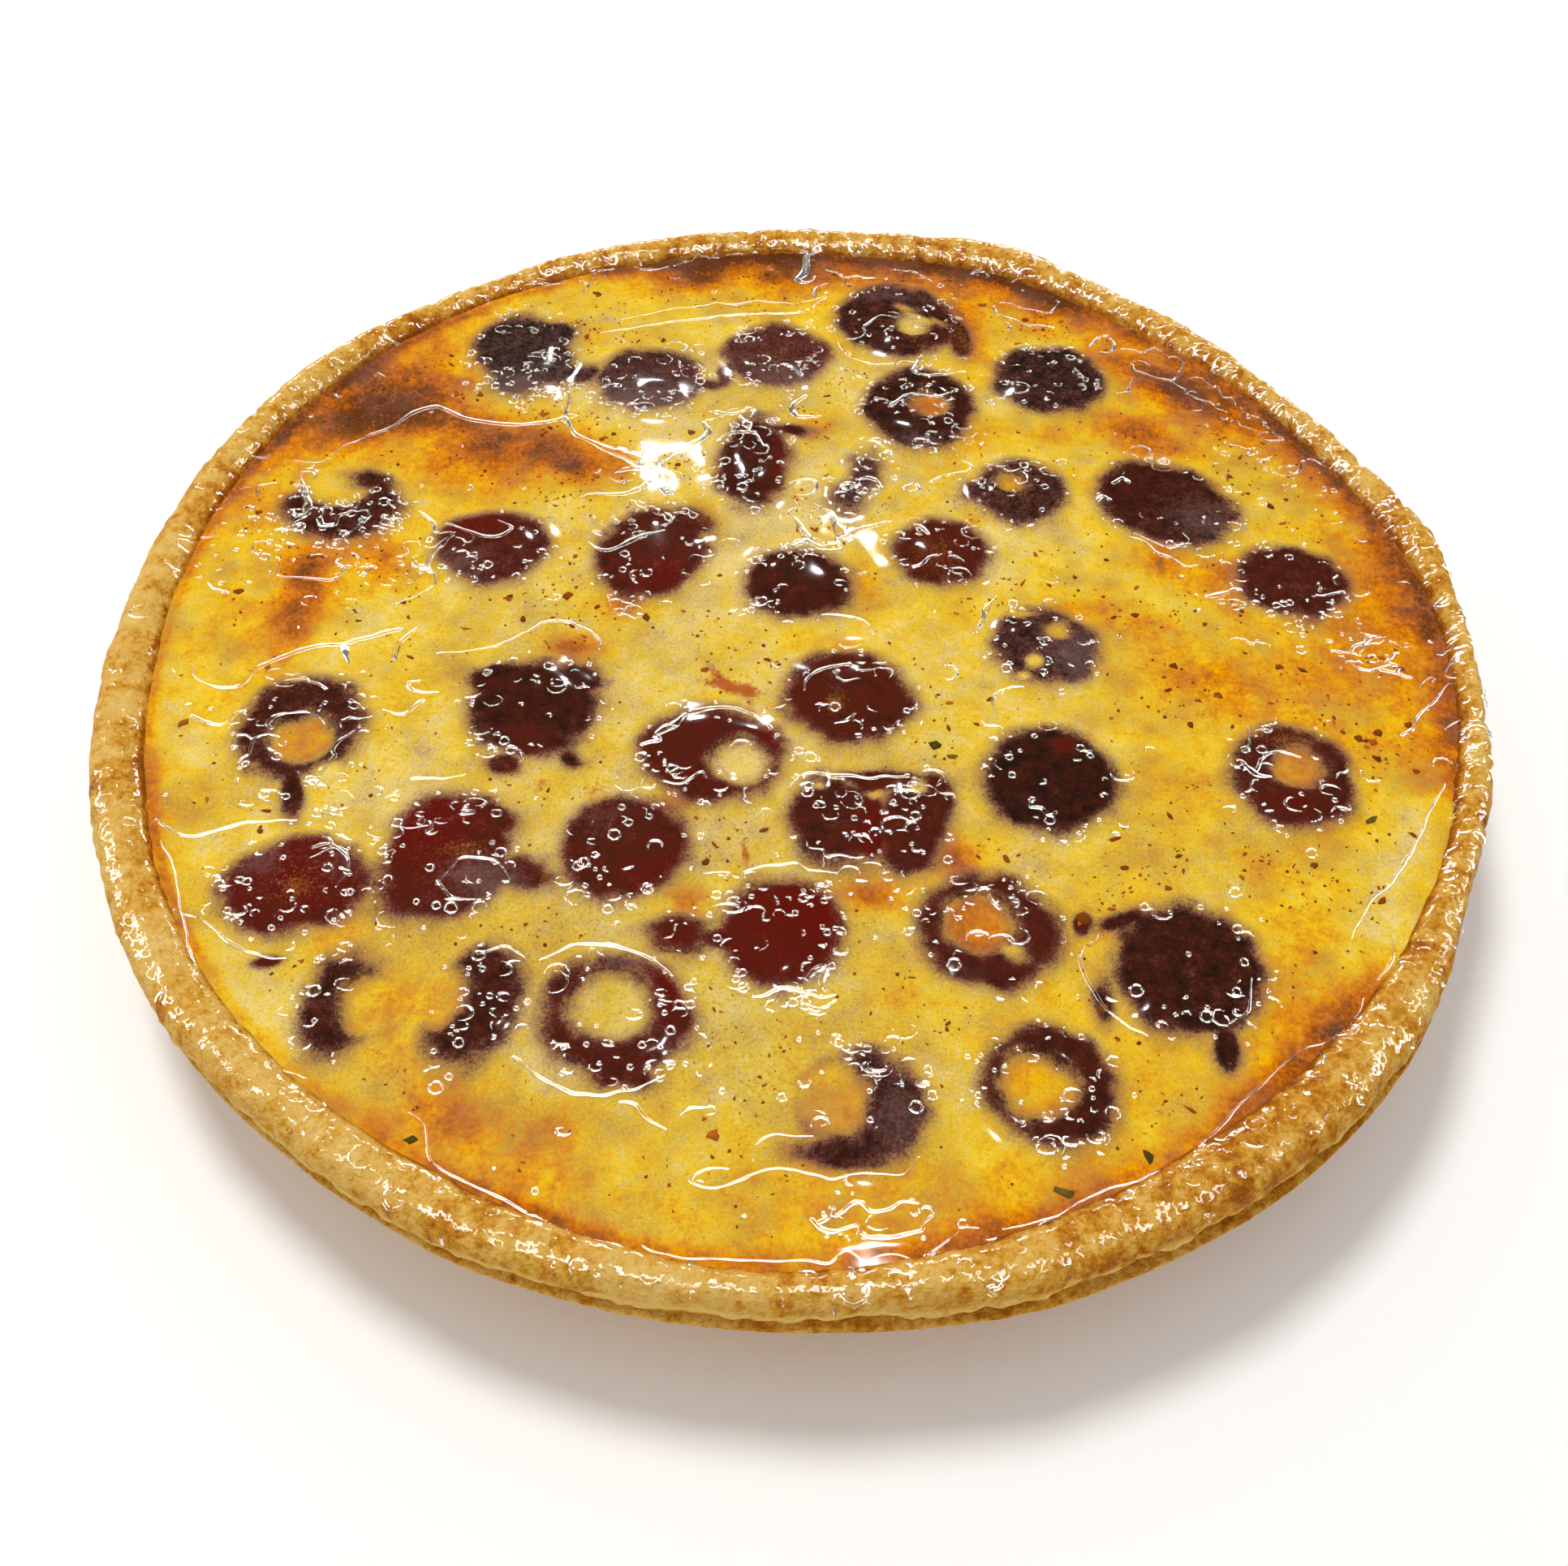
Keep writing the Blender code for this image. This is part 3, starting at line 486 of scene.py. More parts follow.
RIGHT_FOLDS = (
    Fold(0.3, 0.3, 0.15, ((805, 908), (860, 905), (930, 910), (990, 925))),
    Fold(0.2, 0.35, 0.25, ((900, 970), (940, 965), (985, 1010), (1040, 1020), (1100, 1010), (1150, 1028),
        (1200, 1040), (1260, 1060), (1300, 1062))),
    Fold(0.3, 0.35, 0.2, ((1205, 1035), (1215, 1000), (1180, 985), (1150, 965), (1175, 950), (1200, 915),
        (1230, 920))),
    Fold(0.25, 0.45, 0.5, ((935, 890), (960, 860), (1010, 850), (1060, 822), (1085, 818))),
    Fold(0.2, 0.35, 0.5, ((985, 765), (1005, 800), (1030, 815))),
    Fold(0.15, 0.3, 0.2, ((1090, 820), (1140, 825), (1170, 848), (1210, 860), (1245, 885))),
    Fold(0.15, 0.25, 0.15, ((1565, 940), (1530, 1000), (1508, 1040), (1525, 1070), (1590, 1080))),
    Fold(0.15, 0.25, 0.35, ((1600, 1105), (1520, 1125), (1480, 1170), (1450, 1210), (1390, 1250),
        (1340, 1300), (1320, 1340), (1315, 1385), (1270, 1410), (1240, 1432))),
    Fold(0.15, 0.2, 0.15, ((1350, 1140), (1360, 1110), (1400, 1080), (1445, 1068), (1425, 1100))),
    Fold(0.15, 0.25, 0.1, ((1510, 1385), (1560, 1355), (1610, 1330))),
    Fold(0.5, 0.5, 0.3, ((30, 565), (80, 560), (110, 555), (165, 540), (205, 530), (255, 540))),
    Fold(0.2, 0.35, 0.15, ((185, 825), (240, 825), (310, 850), (370, 850), (435, 875))),
    Fold(0.2, 0.35, 0.15, ((710, 578), (760, 578), (820, 565), (870, 548), (905, 560), (918, 585),
        (905, 608))),
    Fold(0.15, 0.25, 0.15, ((845, 440), (820, 480), (828, 512))),
    Fold(0.15, 0.25, 0.15, ((130, 295), (135, 335), (110, 350), (150, 360), (200, 378))),
    Fold(0.2, 0.6, 0.25, ((225, 1590), (260, 1600), (300, 1640), (330, 1665), (380, 1690), (440, 1700))),
    Fold(0.4, 0.3, 0.15, ((330, 1655), (370, 1590), (420, 1545), (480, 1530), (540, 1535), (600, 1560),
        (622, 1580))),
    Fold(0.15, 0.2, 0.1, ((290, 1375), (300, 1440), (290, 1500), (245, 1535))),
    Fold(0.15, 0.25, 0.15, ((820, 1700), (840, 1668), (880, 1660), (900, 1630), (893, 1600))),
)
WIDE_RIGHT_FOLDS = (
    Fold(0.15, 0.35, 0.15, ((75, 590), (110, 600), (140, 625), (180, 640), (215, 660), (242, 655))),
    Fold(0.5, 0.6, 0.4, ((5, 505), (20, 495), (35, 508))),
    Fold(0.3, 0.4, 0.3, ((38, 470), (60, 455), (78, 468))),
)
FAR_RIGHT_FOLDS = (
    Fold(0.2, 0.25, 0.1, ((0, 245), (70, 255), (130, 270), (170, 255), (210, 245), (250, 265),
        (300, 290))),
    Fold(0.15, 0.25, 0.2, ((300, 300), (350, 300), (385, 325), (390, 360), (340, 430), (310, 440),
        (230, 425), (110, 390), (80, 350), (80, 330), (140, 330), (180, 345))),
    Fold(0.1, 0.2, 0.15, ((335, 455), (370, 475), (400, 490), (400, 515), (450, 545), (510, 562),
        (560, 575), (600, 612), (655, 635))),
    Fold(0.1, 0.2, 0.25, ((435, 430), (490, 428), (540, 455), (580, 490), (605, 482), (620, 530),
        (650, 550), (695, 550), (715, 590))),
    Fold(0.15, 0.2, 0.1, ((675, 690), (720, 680), (745, 715), (790, 735), (850, 755))),
    Fold(0.1, 0.25, 0.15, ((740, 610), (770, 640), (820, 660), (870, 675), (890, 720), (940, 750),
        (960, 780), (1000, 800), (950, 815), (905, 818), (872, 790), (880, 765), (920, 760))),
    Fold(0.25, 0.25, 0.1, ((650, 815), (700, 838), (780, 865))),
    Fold(0.6, 0.3, 0.1, ((850, 930), (890, 930), (935, 912))),
    Fold(0.15, 0.25, 0.15, ((930, 990), (970, 1022), (1020, 1025), (1080, 1010), (1115, 980), (1130, 945),
        (1170, 930), (1220, 945), (1265, 970))),
)
FAR_MIDDLE_FOLDS = (
    Fold(0.5, 0.9, 0.3, ((110, 180), (150, 190), (155, 240), (135, 290), (100, 325), (150, 345),
        (200, 310))),
    Fold(0.4, 0.3, 0.1, ((170, 200), (230, 170), (270, 135), (330, 135), (372, 158))),
    Fold(0.4, 0.35, 0.15, ((200, 420), (205, 385), (235, 360), (275, 350))),
    Fold(0.15, 0.3, 0.2, ((260, 280), (320, 290), (360, 318), (420, 308), (480, 320), (530, 325))),
    Fold(0.1, 0.25, 0.2, ((620, 275), (690, 280), (760, 290), (810, 320), (845, 345))),
    Fold(0.15, 0.3, 0.3, ((865, 195), (920, 190), (980, 205), (1040, 230), (1100, 255), (1118, 270),
        (1085, 290), (1060, 305))),
    Fold(0.15, 0.25, 0.15, ((1290, 345), (1330, 325), (1390, 330), (1450, 352), (1500, 350), (1560, 370),
        (1600, 375), (1640, 355))),
    Fold(0.1, 0.25, 0.2, ((1215, 455), (1270, 460), (1340, 490), (1420, 500), (1490, 510), (1530, 490),
        (1550, 460), (1530, 445))),
    Fold(0.2, 0.35, 0.25, ((1190, 470), (1210, 510), (1270, 540), (1350, 570), (1400, 582), (1460, 580),
        (1530, 590))),
    Fold(0.1, 0.25, 0.2, ((325, 660), (345, 710), (400, 760), (470, 785), (540, 795), (610, 795),
        (680, 780), (760, 780), (800, 775))),
    Fold(0.15, 0.3, 0.15, ((380, 660), (440, 655), (475, 640), (470, 600), (500, 580), (550, 550),
        (600, 540), (650, 545))),
    Fold(0.25, 0.4, 0.25, ((1730, 700), (1780, 650), (1830, 650), (1860, 700), (1840, 730), (1780, 730))),
)
FAR_EDGE_FOLDS = (
    Fold(0.1, 0.25, 0.15, ((585, 450), (700, 430), (830, 400), (960, 385), (1050, 370), (1150, 375),
        (1250, 355), (1350, 362), (1440, 370), (1530, 350), (1600, 335))),
    Fold(0.15, 0.35, 0.15, ((475, 520), (600, 500), (750, 475), (900, 455), (1050, 440), (1200, 425),
        (1350, 418), (1460, 410), (1530, 380), (1590, 345))),
    Fold(0.2, 0.3, 0.2, ((400, 320), (420, 292), (400, 265), (372, 268))),
    Fold(0.1, 0.25, 0.15, ((430, 262), (462, 222), (500, 215), (548, 208))),
    Fold(0.15, 0.3, 0.15, ((640, 198), (690, 212), (760, 210), (810, 195))),
    Fold(0.1, 0.25, 0.1, ((652, 190), (700, 165), (742, 148))),
    Fold(0.2, 0.25, 0.15, ((842, 192), (880, 172), (930, 165), (960, 135), (1000, 150), (1060, 155),
        (1130, 128), (1180, 130))),
    Fold(0.1, 0.2, 0.1, ((780, 125), (850, 130), (920, 120), (965, 135))),
    Fold(0.1, 0.2, 0.1, ((1260, 75), (1310, 92), (1380, 70), (1440, 80), (1505, 98))),
)
NEAR_EDGE_FOLDS = (
    Fold(0.2, 0.25, 0.1, ((236, 168), (252, 152), (275, 144), (312, 142))),
    Fold(0.1, 0.25, 0.1, ((60, 345), (90, 350), (100, 368), (135, 372))),
    Fold(0.2, 0.18, 0.1, ((236, 168), (284, 182), (345, 160), (404, 143), (470, 152), (515, 159),
        (560, 150), (635, 154), (662, 142), (690, 118))),
    Fold(0.3, 0.4, 0.2, ((472, 238), (490, 258), (520, 263), (566, 252), (580, 272), (605, 277),
        (682, 268), (690, 250), (712, 232))),
    Fold(0.3, 0.35, 0.2, ((484, 250), (505, 236), (512, 213), (522, 232), (566, 206), (592, 225),
        (622, 222), (652, 208), (686, 211))),
    Fold(0.1, 0.2, 0.1, ((360, 125), (358, 105), (372, 88), (400, 74), (430, 74), (478, 78))),
    Fold(0.2, 0.3, 0.1, ((100, 14), (130, 16), (150, 40), (190, 65))),
    Fold(0.1, 0.3, 0.1, ((218, 38), (240, 25), (278, 22))),
)
# Each part's upper left corner in the photograph's own pixels, and how many times it is enlarged
View = namedtuple("View", "left top scale")
PICKED_FOLDS = (
    (View(880, 480, 3.5), UPPER_MIDDLE_FOLDS),
    (View(780, 780, 3), MIDDLE_FOLDS),
    (View(180, 540, 4), LEFT_FOLDS),
    (View(1480, 620, 5), RIGHT_FOLDS),
    (View(1350, 350, 1.9), WIDE_RIGHT_FOLDS),
    (View(1380, 380, 5), FAR_RIGHT_FOLDS),
    (View(960, 270, 4.5), FAR_MIDDLE_FOLDS),
    (View(620, 280, 4), FAR_EDGE_FOLDS),
    (View(700, 1350, 950 / 600), NEAR_EDGE_FOLDS),
)
# Where the rim is browned: direction and half width in degrees from +X, and strength
RIM_BROWNED = (
    (110, 50, 0.12),
    (0, 22, 0.12),
    (45, 20, 0.08),
    (-52, 26, 0.20),
    (-100, 26, 0.03),
    (200, 14, -0.08),
)
# Directions of the roll's pleats
RIM_PLEATS = (18, 24, -8, -13, -19, -66, -71, 41, 63, 96, 131, 154, 203, 226)

# ------------------------------------------------------------------------------------------------
# Colours
# ------------------------------------------------------------------------------------------------


def linear(red, green, blue):
    """A colour as Blender stores it, from the 0 to 255 values that a colour picker shows."""
    shares = np.array([red, green, blue]) / 255
    curved = np.where(shares <= 0.04045, shares / 12.92, ((shares + 0.055) / 1.055) ** 2.4)
    return (*(float(part) for part in curved), 1.0)


def colour_setting(name, description, default):
    return bpy.props.FloatVectorProperty(
        name=name,
        description=description,
        subtype="COLOR",
        size=4,
        min=0.0,
        max=1.0,
        default=default,
    )


def length_setting(name, description, default_mm):
    return bpy.props.FloatProperty(
        name=name,
        description=description,
        subtype="DISTANCE",
        unit="LENGTH",
        min=0.0,
        precision=5,
        default=default_mm * MM,
    )


def count_setting(name, description, default):
    return bpy.props.IntProperty(name=name, description=description, min=0, default=default)


class CrustSettings(bpy.types.PropertyGroup):
    lumps: length_setting("Lumps", "Height of the rim's hand-rolled lumps", 0.38)
    wrinkles: length_setting("Wrinkles", "Height of the wrinkles across the rim", 0.19)
    blisters: length_setting("Blisters", "Height of the pastry's small blisters", 0.14)
    pale: colour_setting("Pale", "Pastry that is barely baked", linear(228, 188, 106))
    golden: colour_setting("Golden", "Well baked pastry", linear(204, 144, 46))
    brown: colour_setting("Brown", "Pastry at its darkest folds", linear(150, 86, 24))


class CustardSettings(bpy.types.PropertyGroup):
    grain: length_setting("Grain", "Height of the custard's fine grain", 0.05)
    cream: colour_setting("Cream", "The palest custard", linear(240, 215, 132))
    yellow: colour_setting("Yellow", "Set custard", linear(239, 190, 8))
    amber: colour_setting("Amber", "Custard that has begun to brown", linear(230, 148, 0))
    brown: colour_setting("Brown", "Browned custard", linear(146, 78, 22))
    burnt: colour_setting("Burnt", "The darkest custard", linear(92, 46, 20))
    olive: colour_setting("Olive", "Custard that juice has stained", linear(186, 162, 92))
    stain: colour_setting("Stain", "The halo of juice round a cherry", linear(140, 92, 84))
    red: colour_setting("Red", "Streaks of cherry juice", linear(176, 52, 22))


class CherrySettings(bpy.types.PropertyGroup):
    dark: colour_setting("Dark", "The skin of the darkest cherries", linear(38, 24, 18))
    maroon: colour_setting("Maroon", "The skin of most cherries", linear(80, 33, 22))
    red: colour_setting("Red", "The skin of the reddest cherries", linear(96, 22, 14))
    veil: colour_setting("Veil", "The film over a cherry's shoulders", linear(124, 100, 96))


class GlazeSettings(bpy.types.PropertyGroup):
    film: length_setting("Film", "Thickness of the clear glaze", 1.05)
    waves: length_setting("Waves", "Height of the glaze's slow waves", 0.15)
    bubbles: count_setting("Bubbles", "How many bubbles stand in the glaze", 700)
    hooks: count_setting("Hooks", "How many small hooks stand in the glaze", 1350)
    drips: count_setting("Drips", "How many small hooks of glaze lie on the rim", 560)
    tint: colour_setting("Tint", "What the glaze lets through", linear(255, 252, 245))


class FleckSettings(bpy.types.PropertyGroup):
    small: count_setting("Small flecks", "How many specks under a millimetre", 1700)
    large: count_setting("Large flecks", "How many flecks of one to three mm", 460)
    brown: colour_setting("Brown", "Most flecks", linear(140, 74, 26))
    green: colour_setting("Green", "A few larger flecks", linear(92, 78, 30))


class StageSettings(bpy.types.PropertyGroup):
    floor: colour_setting("Floor", "The plain floor", linear(249, 249, 247))
    fill: bpy.props.FloatProperty(
        name="Fill", description="Brightness of the soft light from all round", default=0.585
    )
    key: bpy.props.FloatProperty(
        name="Lamp", description="Power of the overhead lamp in watts", unit="POWER", default=6.5
    )
    sparkle: bpy.props.FloatProperty(
        name="Sparkle", description="Brightness of the lamps that the glaze mirrors", default=1.0
    )


# ------------------------------------------------------------------------------------------------
# Numbers over a surface
# ------------------------------------------------------------------------------------------------
LATTICE = 64
TABLE = 1440  # directions in a table of the rim
FAR_OFF = 99.0  # millimetres, further than anything on the tart reaches
PHOTO_WIDTH, PHOTO_HEIGHT = 1932, 1930  # pixels
FOLD_LEVEL = 28.6  # where the camera's line through a fold meets the glaze


def smooth_step(low, high, value):
    """0 below low, 1 above high, and 3t² - 2t³ between, where t is the share of the way."""
    t = np.clip((value - low) / (high - low), 0.0, 1.0)
    return t * t * (3 - 2 * t)


def noise(x, y, z, size, seed):
    """Smooth noise from -1 to 1. Random values stand on a cubic lattice whose cells are size wide,
    turned out of line with the axes, and between them the eight nearest are blended by the
    polynomial 6t⁵ - 15t⁴ + 10t³. Noise over a level place has 0 as its z."""
    values = np.random.default_rng(seed).uniform(-1, 1, (LATTICE,) * 3)
    tilt = np.array(Matrix.Rotation(0.7 + seed, 3, Vector((0.3, 0.5, 0.8))))
    points = np.tensordot(tilt, np.stack(np.broadcast_arrays(x, y, z)) / size, axes=1)
    cell = np.floor(points).astype(int)
    share = points - cell
    share = share**3 * (share * (share * 6 - 15) + 10)
    total = 0.0
    for corner in itertools.product((0, 1), repeat=3):
        at = [(cell[axis] + corner[axis]) % LATTICE for axis in range(3)]
        weight = 1.0
        for axis in range(3):
            weight = weight * (share[axis] if corner[axis] else 1 - share[axis])
        total = total + weight * values[at[0], at[1], at[2]]
    return total


def bell(value, middle, reach):
    """e to the minus squared distance from the middle, where distance is measured in reaches."""
    return np.exp(-(((value - middle) / reach) ** 2))


def degrees_past(angle, direction):
    """How far an angle in radians is past a direction in degrees, from -180 to 180 degrees."""
    return (np.degrees(angle) - direction + 180) % 360 - 180


def turned(form, x, y):
    """Where points are along a patch or a cherry and across it, from its middle."""
    turn = math.radians(form.turn)
    x, y = x - form.x, y - form.y
    return x * math.cos(turn) + y * math.sin(turn), y * math.cos(turn) - x * math.sin(turn)


def patches(group, x, y):
    """The sum of soft patches: strength times e to the minus squared distance, where distance is
    measured in reaches along the patch's two directions."""
    total = np.zeros_like(x)
    for patch in group:
        along, across = turned(patch, x, y)
        away = (along / patch.long) ** 2 + (across / patch.short) ** 2
        total += patch.strength * np.exp(-away)
    return total


def node_points(name):
    """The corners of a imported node's mesh, in millimetres."""
    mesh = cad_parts[name].data
    points = np.empty(len(mesh.vertices) * 3, np.float32)
    mesh.vertices.foreach_get("co", points)
    return points.reshape(-1, 3).astype(float) / MM


def all_round(values):
    """A table of directions from values at evenly spaced ones: the sum of the values' own waves
    round the circle, so that the curve through them is smooth."""
    return np.fft.irfft(np.fft.rfft(values), n=TABLE) * TABLE / len(values)


def read_rim():
    """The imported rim's outermost line, the inner foot of its roll, and its crest, by direction."""
    points = node_points("crust")
    angle = np.degrees(np.arctan2(points[:, 1], points[:, 0]))
    side = np.rint(angle * SEGMENTS / 360).astype(int) % SEGMENTS
    radius = np.hypot(points[:, 0], points[:, 1])
    roll = points[:, 2] > CREST_HEIGHT - 1.5 * BEAD_HALF_HEIGHT
    outer = np.zeros(SEGMENTS)
    inner = np.full(SEGMENTS, RIM_RADIUS)
    crest = np.zeros(SEGMENTS)
    np.maximum.at(outer, side, radius)
    np.minimum.at(inner, side[roll], radius[roll])
    np.maximum.at(crest, side, points[:, 2])
    return all_round(outer), all_round(inner), all_round(crest)


OUTER, INNER, CREST = read_rim()


def by_direction(table, angle):
    """A table's value in a direction in radians."""
    turns = np.arange(TABLE) * 2 * math.pi / TABLE
    return np.interp(angle % (2 * math.pi), turns, table, period=2 * math.pi)


def push_rim(angle, radius, height):
    """Where the uneven rim has a point of the round section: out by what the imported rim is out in
    that direction, in full from the custard's level up and not at all at the base."""
    outer = by_direction(OUTER, angle) - RIM_RADIUS
    inner = by_direction(INNER, angle) - INNER_EDGE
    across = np.clip((radius - INNER_EDGE) / (RIM_RADIUS - INNER_EDGE), 0.0, 1.0)
    share = smooth_step(FLOOR_THICKNESS, CUSTARD_LEVEL, height)
    share = share * np.minimum(radius / INNER_EDGE, 1.0) ** 4
    out = (outer * across + inner * (1 - across)) * share
    above = np.clip((height - CUSTARD_LEVEL) / (CREST_HEIGHT - CUSTARD_LEVEL), 0.0, 1.0)
    return radius + out, height + (by_direction(CREST, angle) - CREST_HEIGHT) * above


def custard_top(x, y):
    """The custard's height: level, plus low swells of sine by cosine, plus a rise at the pastry
    that grows with the tenth power of the distance from the middle."""
    swell = 0.25 * np.sin(x / 31 + 0.6) * np.cos(y / 27 - 0.4)
    edge = np.minimum((np.hypot(x, y) / INNER_EDGE) ** 10, 1.0)
    return CUSTARD_LEVEL + swell + CUSTARD_EDGE_RISE * edge


def dent(index, around):
    """How uneven a cherry's outline is: 1 plus a small product of two sines of the direction."""
    wave = np.sin(2 * around + 1.7 * index) * np.sin(3 * around + index)
    return 1 + CHERRY_DENT * wave


def in_mouth(cherry, along, across):
    """How far a point is inside a cherry's pit hole, in millimetres, or far outside."""
    if not cherry.mouth:
        return np.full_like(along, -FAR_OFF)
    return cherry.mouth.radius - np.hypot(along - cherry.mouth.x, across - cherry.mouth.y)


def in_cherries(x, y):
    """Where points are in each cherry: their distance from its middle as a share of the way to its
    dented oval outline, their distance to that outline in millimetres, negative inside, and how far
    they are inside its pit hole."""
    for index, cherry in enumerate(CHERRIES, start=1):
        along, across = turned(cherry, x, y)
        around = np.arctan2(across / cherry.depth, along / cherry.width)
        share = np.hypot(along / cherry.width, across / cherry.depth) * 2 / dent(index, around)
        past = (share - 1) * min(cherry.width, cherry.depth) / 2
        yield share, past, in_mouth(cherry, along, across)


def nearest_fruit(x, y):
    """The distance to the nearest fruit that shows, in millimetres, negative on the fruit: to its
    outline, or in a pit hole to the hole's edge. Also which cherry that is, counted from 0, and how
    far inside a pit hole a point is."""
    nearest = np.full_like(x, FAR_OFF)
    which = np.zeros(x.shape, int)
    deepest = np.full_like(x, -FAR_OFF)
    for number, (share, past, hole) in enumerate(in_cherries(x, y)):
        shown = np.maximum(past, hole)
        which = np.where(shown < nearest, number, which)
        nearest = np.minimum(nearest, shown)
        deepest = np.where(share < 1.3, np.maximum(deepest, hole), deepest)
    return nearest, which, deepest


def collar(x, y):
    """How far the custard climbs round each cherry, in millimetres: in full at the outline and not
    at all 3 mm from it, and less in a pit hole."""
    rise = np.zeros_like(x)
    for _, past, hole in in_cherries(x, y):
        near = smooth_step(3.0, 0.3, past)
        rise = np.maximum(rise, COLLAR_RISE * near * (1 - 0.7 * smooth_step(-1.5, 1.0, hole)))
    return rise


def random_places(rng, tries, margin):
    """Evenly spread random places inside the rim, a margin in millimetres away from it."""
    turn = rng.uniform(0, 2 * math.pi, tries)
    away = np.sqrt(rng.uniform(0, 1, tries)) * (by_direction(INNER, turn) - margin)
    return away * np.cos(turn), away * np.sin(turn)


# ------------------------------------------------------------------------------------------------
# Meshes from arrays
# ------------------------------------------------------------------------------------------------


def grid_faces(rows, columns, closed=False):
    """The quads of a grid of points in rows, each turned so that its normal is along-row crossed
    with row-to-row. closed joins the last point of each row to the first."""
    row = np.arange(rows - 1)[:, None]
    column = np.arange(columns if closed else columns - 1)[None, :]
    after = (column + 1) % columns
    corners = (row * columns + column, row * columns + after)
    upper = ((row + 1) * columns + after, (row + 1) * columns + column)
    return np.stack(corners + upper, axis=-1).reshape(-1, 4)


def fan_faces(loop, pole):
    """The triangles from a closed loop of points to one more point."""
    loop = np.asarray(loop)
    return np.stack([loop, np.roll(loop, -1), np.full(len(loop), pole)], axis=-1)


def skin_faces(rows, columns):
    """The quads and triangles of a closed skin: rows of points round it, then the pole that closes
    the first row and the pole that closes the last."""
    count = rows * columns
    first = np.arange(columns)
    poles = (fan_faces(first[::-1], count), fan_faces(first + count - columns, count + 1))
    return grid_faces(rows, columns, closed=True), np.concatenate(poles)


def joined(points, quads, triangles):
    """Many skins as one mesh's arrays, from their points by skin and the faces of one skin."""
    shift = (np.arange(len(points)) * points.shape[1])[:, None, None]
    return points.reshape(-1, 3), quads[None] + shift, triangles[None] + shift


def make_piece(name, points, quads, triangles, finish, slot, replaced=(), values=None):
    """A smooth piece from arrays: points in millimetres, faces as rows of point numbers, and
    values to keep as attributes of its points. It rides on the tart."""
    mesh = bpy.data.meshes.new(name)
    quads = np.asarray(quads, np.int32).reshape(-1, 4)
    triangles = np.asarray(triangles, np.int32).reshape(-1, 3)
    corners = np.concatenate([quads.ravel(), triangles.ravel()])
    starts = np.append(np.arange(len(quads)) * 4, np.arange(len(triangles)) * 3 + len(quads) * 4)
    mesh.vertices.add(len(points))
    mesh.vertices.foreach_set("co", np.asarray(points * MM, np.float32).ravel())
    mesh.loops.add(len(corners))
    mesh.loops.foreach_set("vertex_index", corners)
    mesh.polygons.add(len(starts))
    mesh.polygons.foreach_set("loop_start", starts.astype(np.int32))
    mesh.update(calc_edges=True)
    if mesh.validate():
        raise RuntimeError(f"{name} has faces that don't close")
    mesh.shade_smooth()
    for key, value in (values or {}).items():
        layer = mesh.attributes.new(key, "FLOAT", "POINT")
        layer.data.foreach_set("value", np.asarray(value, np.float32).ravel())
    mesh.materials.append(finish)
    piece = bpy.data.objects.new(name, mesh)
    bpy.context.scene.collection.objects.link(piece)
    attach(piece, BODY)
    if replaced:
        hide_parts(*replaced)
    return piece


def disc_grid(count):
    """Points of the unit disc from a square grid: each square ring of the grid becomes a circle,
    and a point's share of the way along a side becomes its share of a quarter turn. Gives x, y and
    the numbers of the points on the outer circle, in order."""
    u, v = np.meshgrid(np.linspace(-1, 1, count), np.linspace(-1, 1, count))
    flat = np.abs(u) >= np.abs(v)
    longer = np.where(flat, u, v)
    safe = np.where(longer == 0, 1.0, longer)
    turn = np.where(flat, math.pi / 4 * v / safe, math.pi / 2 - math.pi / 4 * u / safe)
    number = np.arange(count * count).reshape(count, count)
    loop = np.concatenate([number[0, :-1], number[:-1, -1], number[-1, :0:-1], number[:0:-1, 0]])
    return (longer * np.cos(turn)).ravel(), (longer * np.sin(turn)).ravel(), loop


def disc_to_rim(count, past):
    """A disc grid's points, stretched past the inner foot of the rim's roll by some millimetres."""
    unit_x, unit_y, loop = disc_grid(count)
    reach = by_direction(INNER, np.arctan2(unit_y, unit_x)) + past
    return unit_x * reach, unit_y * reach, loop


def closed_below(points, loop, rings, pole):
    """Adds rings of points under a sheet's edge and a pole under its middle, and gives all points
    with the quads and triangles that close the sheet from below."""
    count = len(points)
    size = len(loop)
    rings = np.concatenate(rings + [np.array([pole])])
    quads = []
    above = np.asarray(loop)
    for ring in range((len(rings) - 1) // size):
        below = count + ring * size + np.arange(size)
        sides = (above, below, np.roll(below, -1), np.roll(above, -1))
        quads.append(np.stack(sides, axis=-1))
        above = below
    triangles = fan_faces(above[::-1], count + len(rings) - 1)
    return np.concatenate([points, rings]), np.concatenate(quads), triangles


def cylinder_points(angle, radius, height):
    """Points from directions, radii and heights."""
    height = np.broadcast_to(height, np.shape(angle))
    return np.stack([radius * np.cos(angle), radius * np.sin(angle), height], axis=-1)


# ------------------------------------------------------------------------------------------------
# Shader maths
# ------------------------------------------------------------------------------------------------


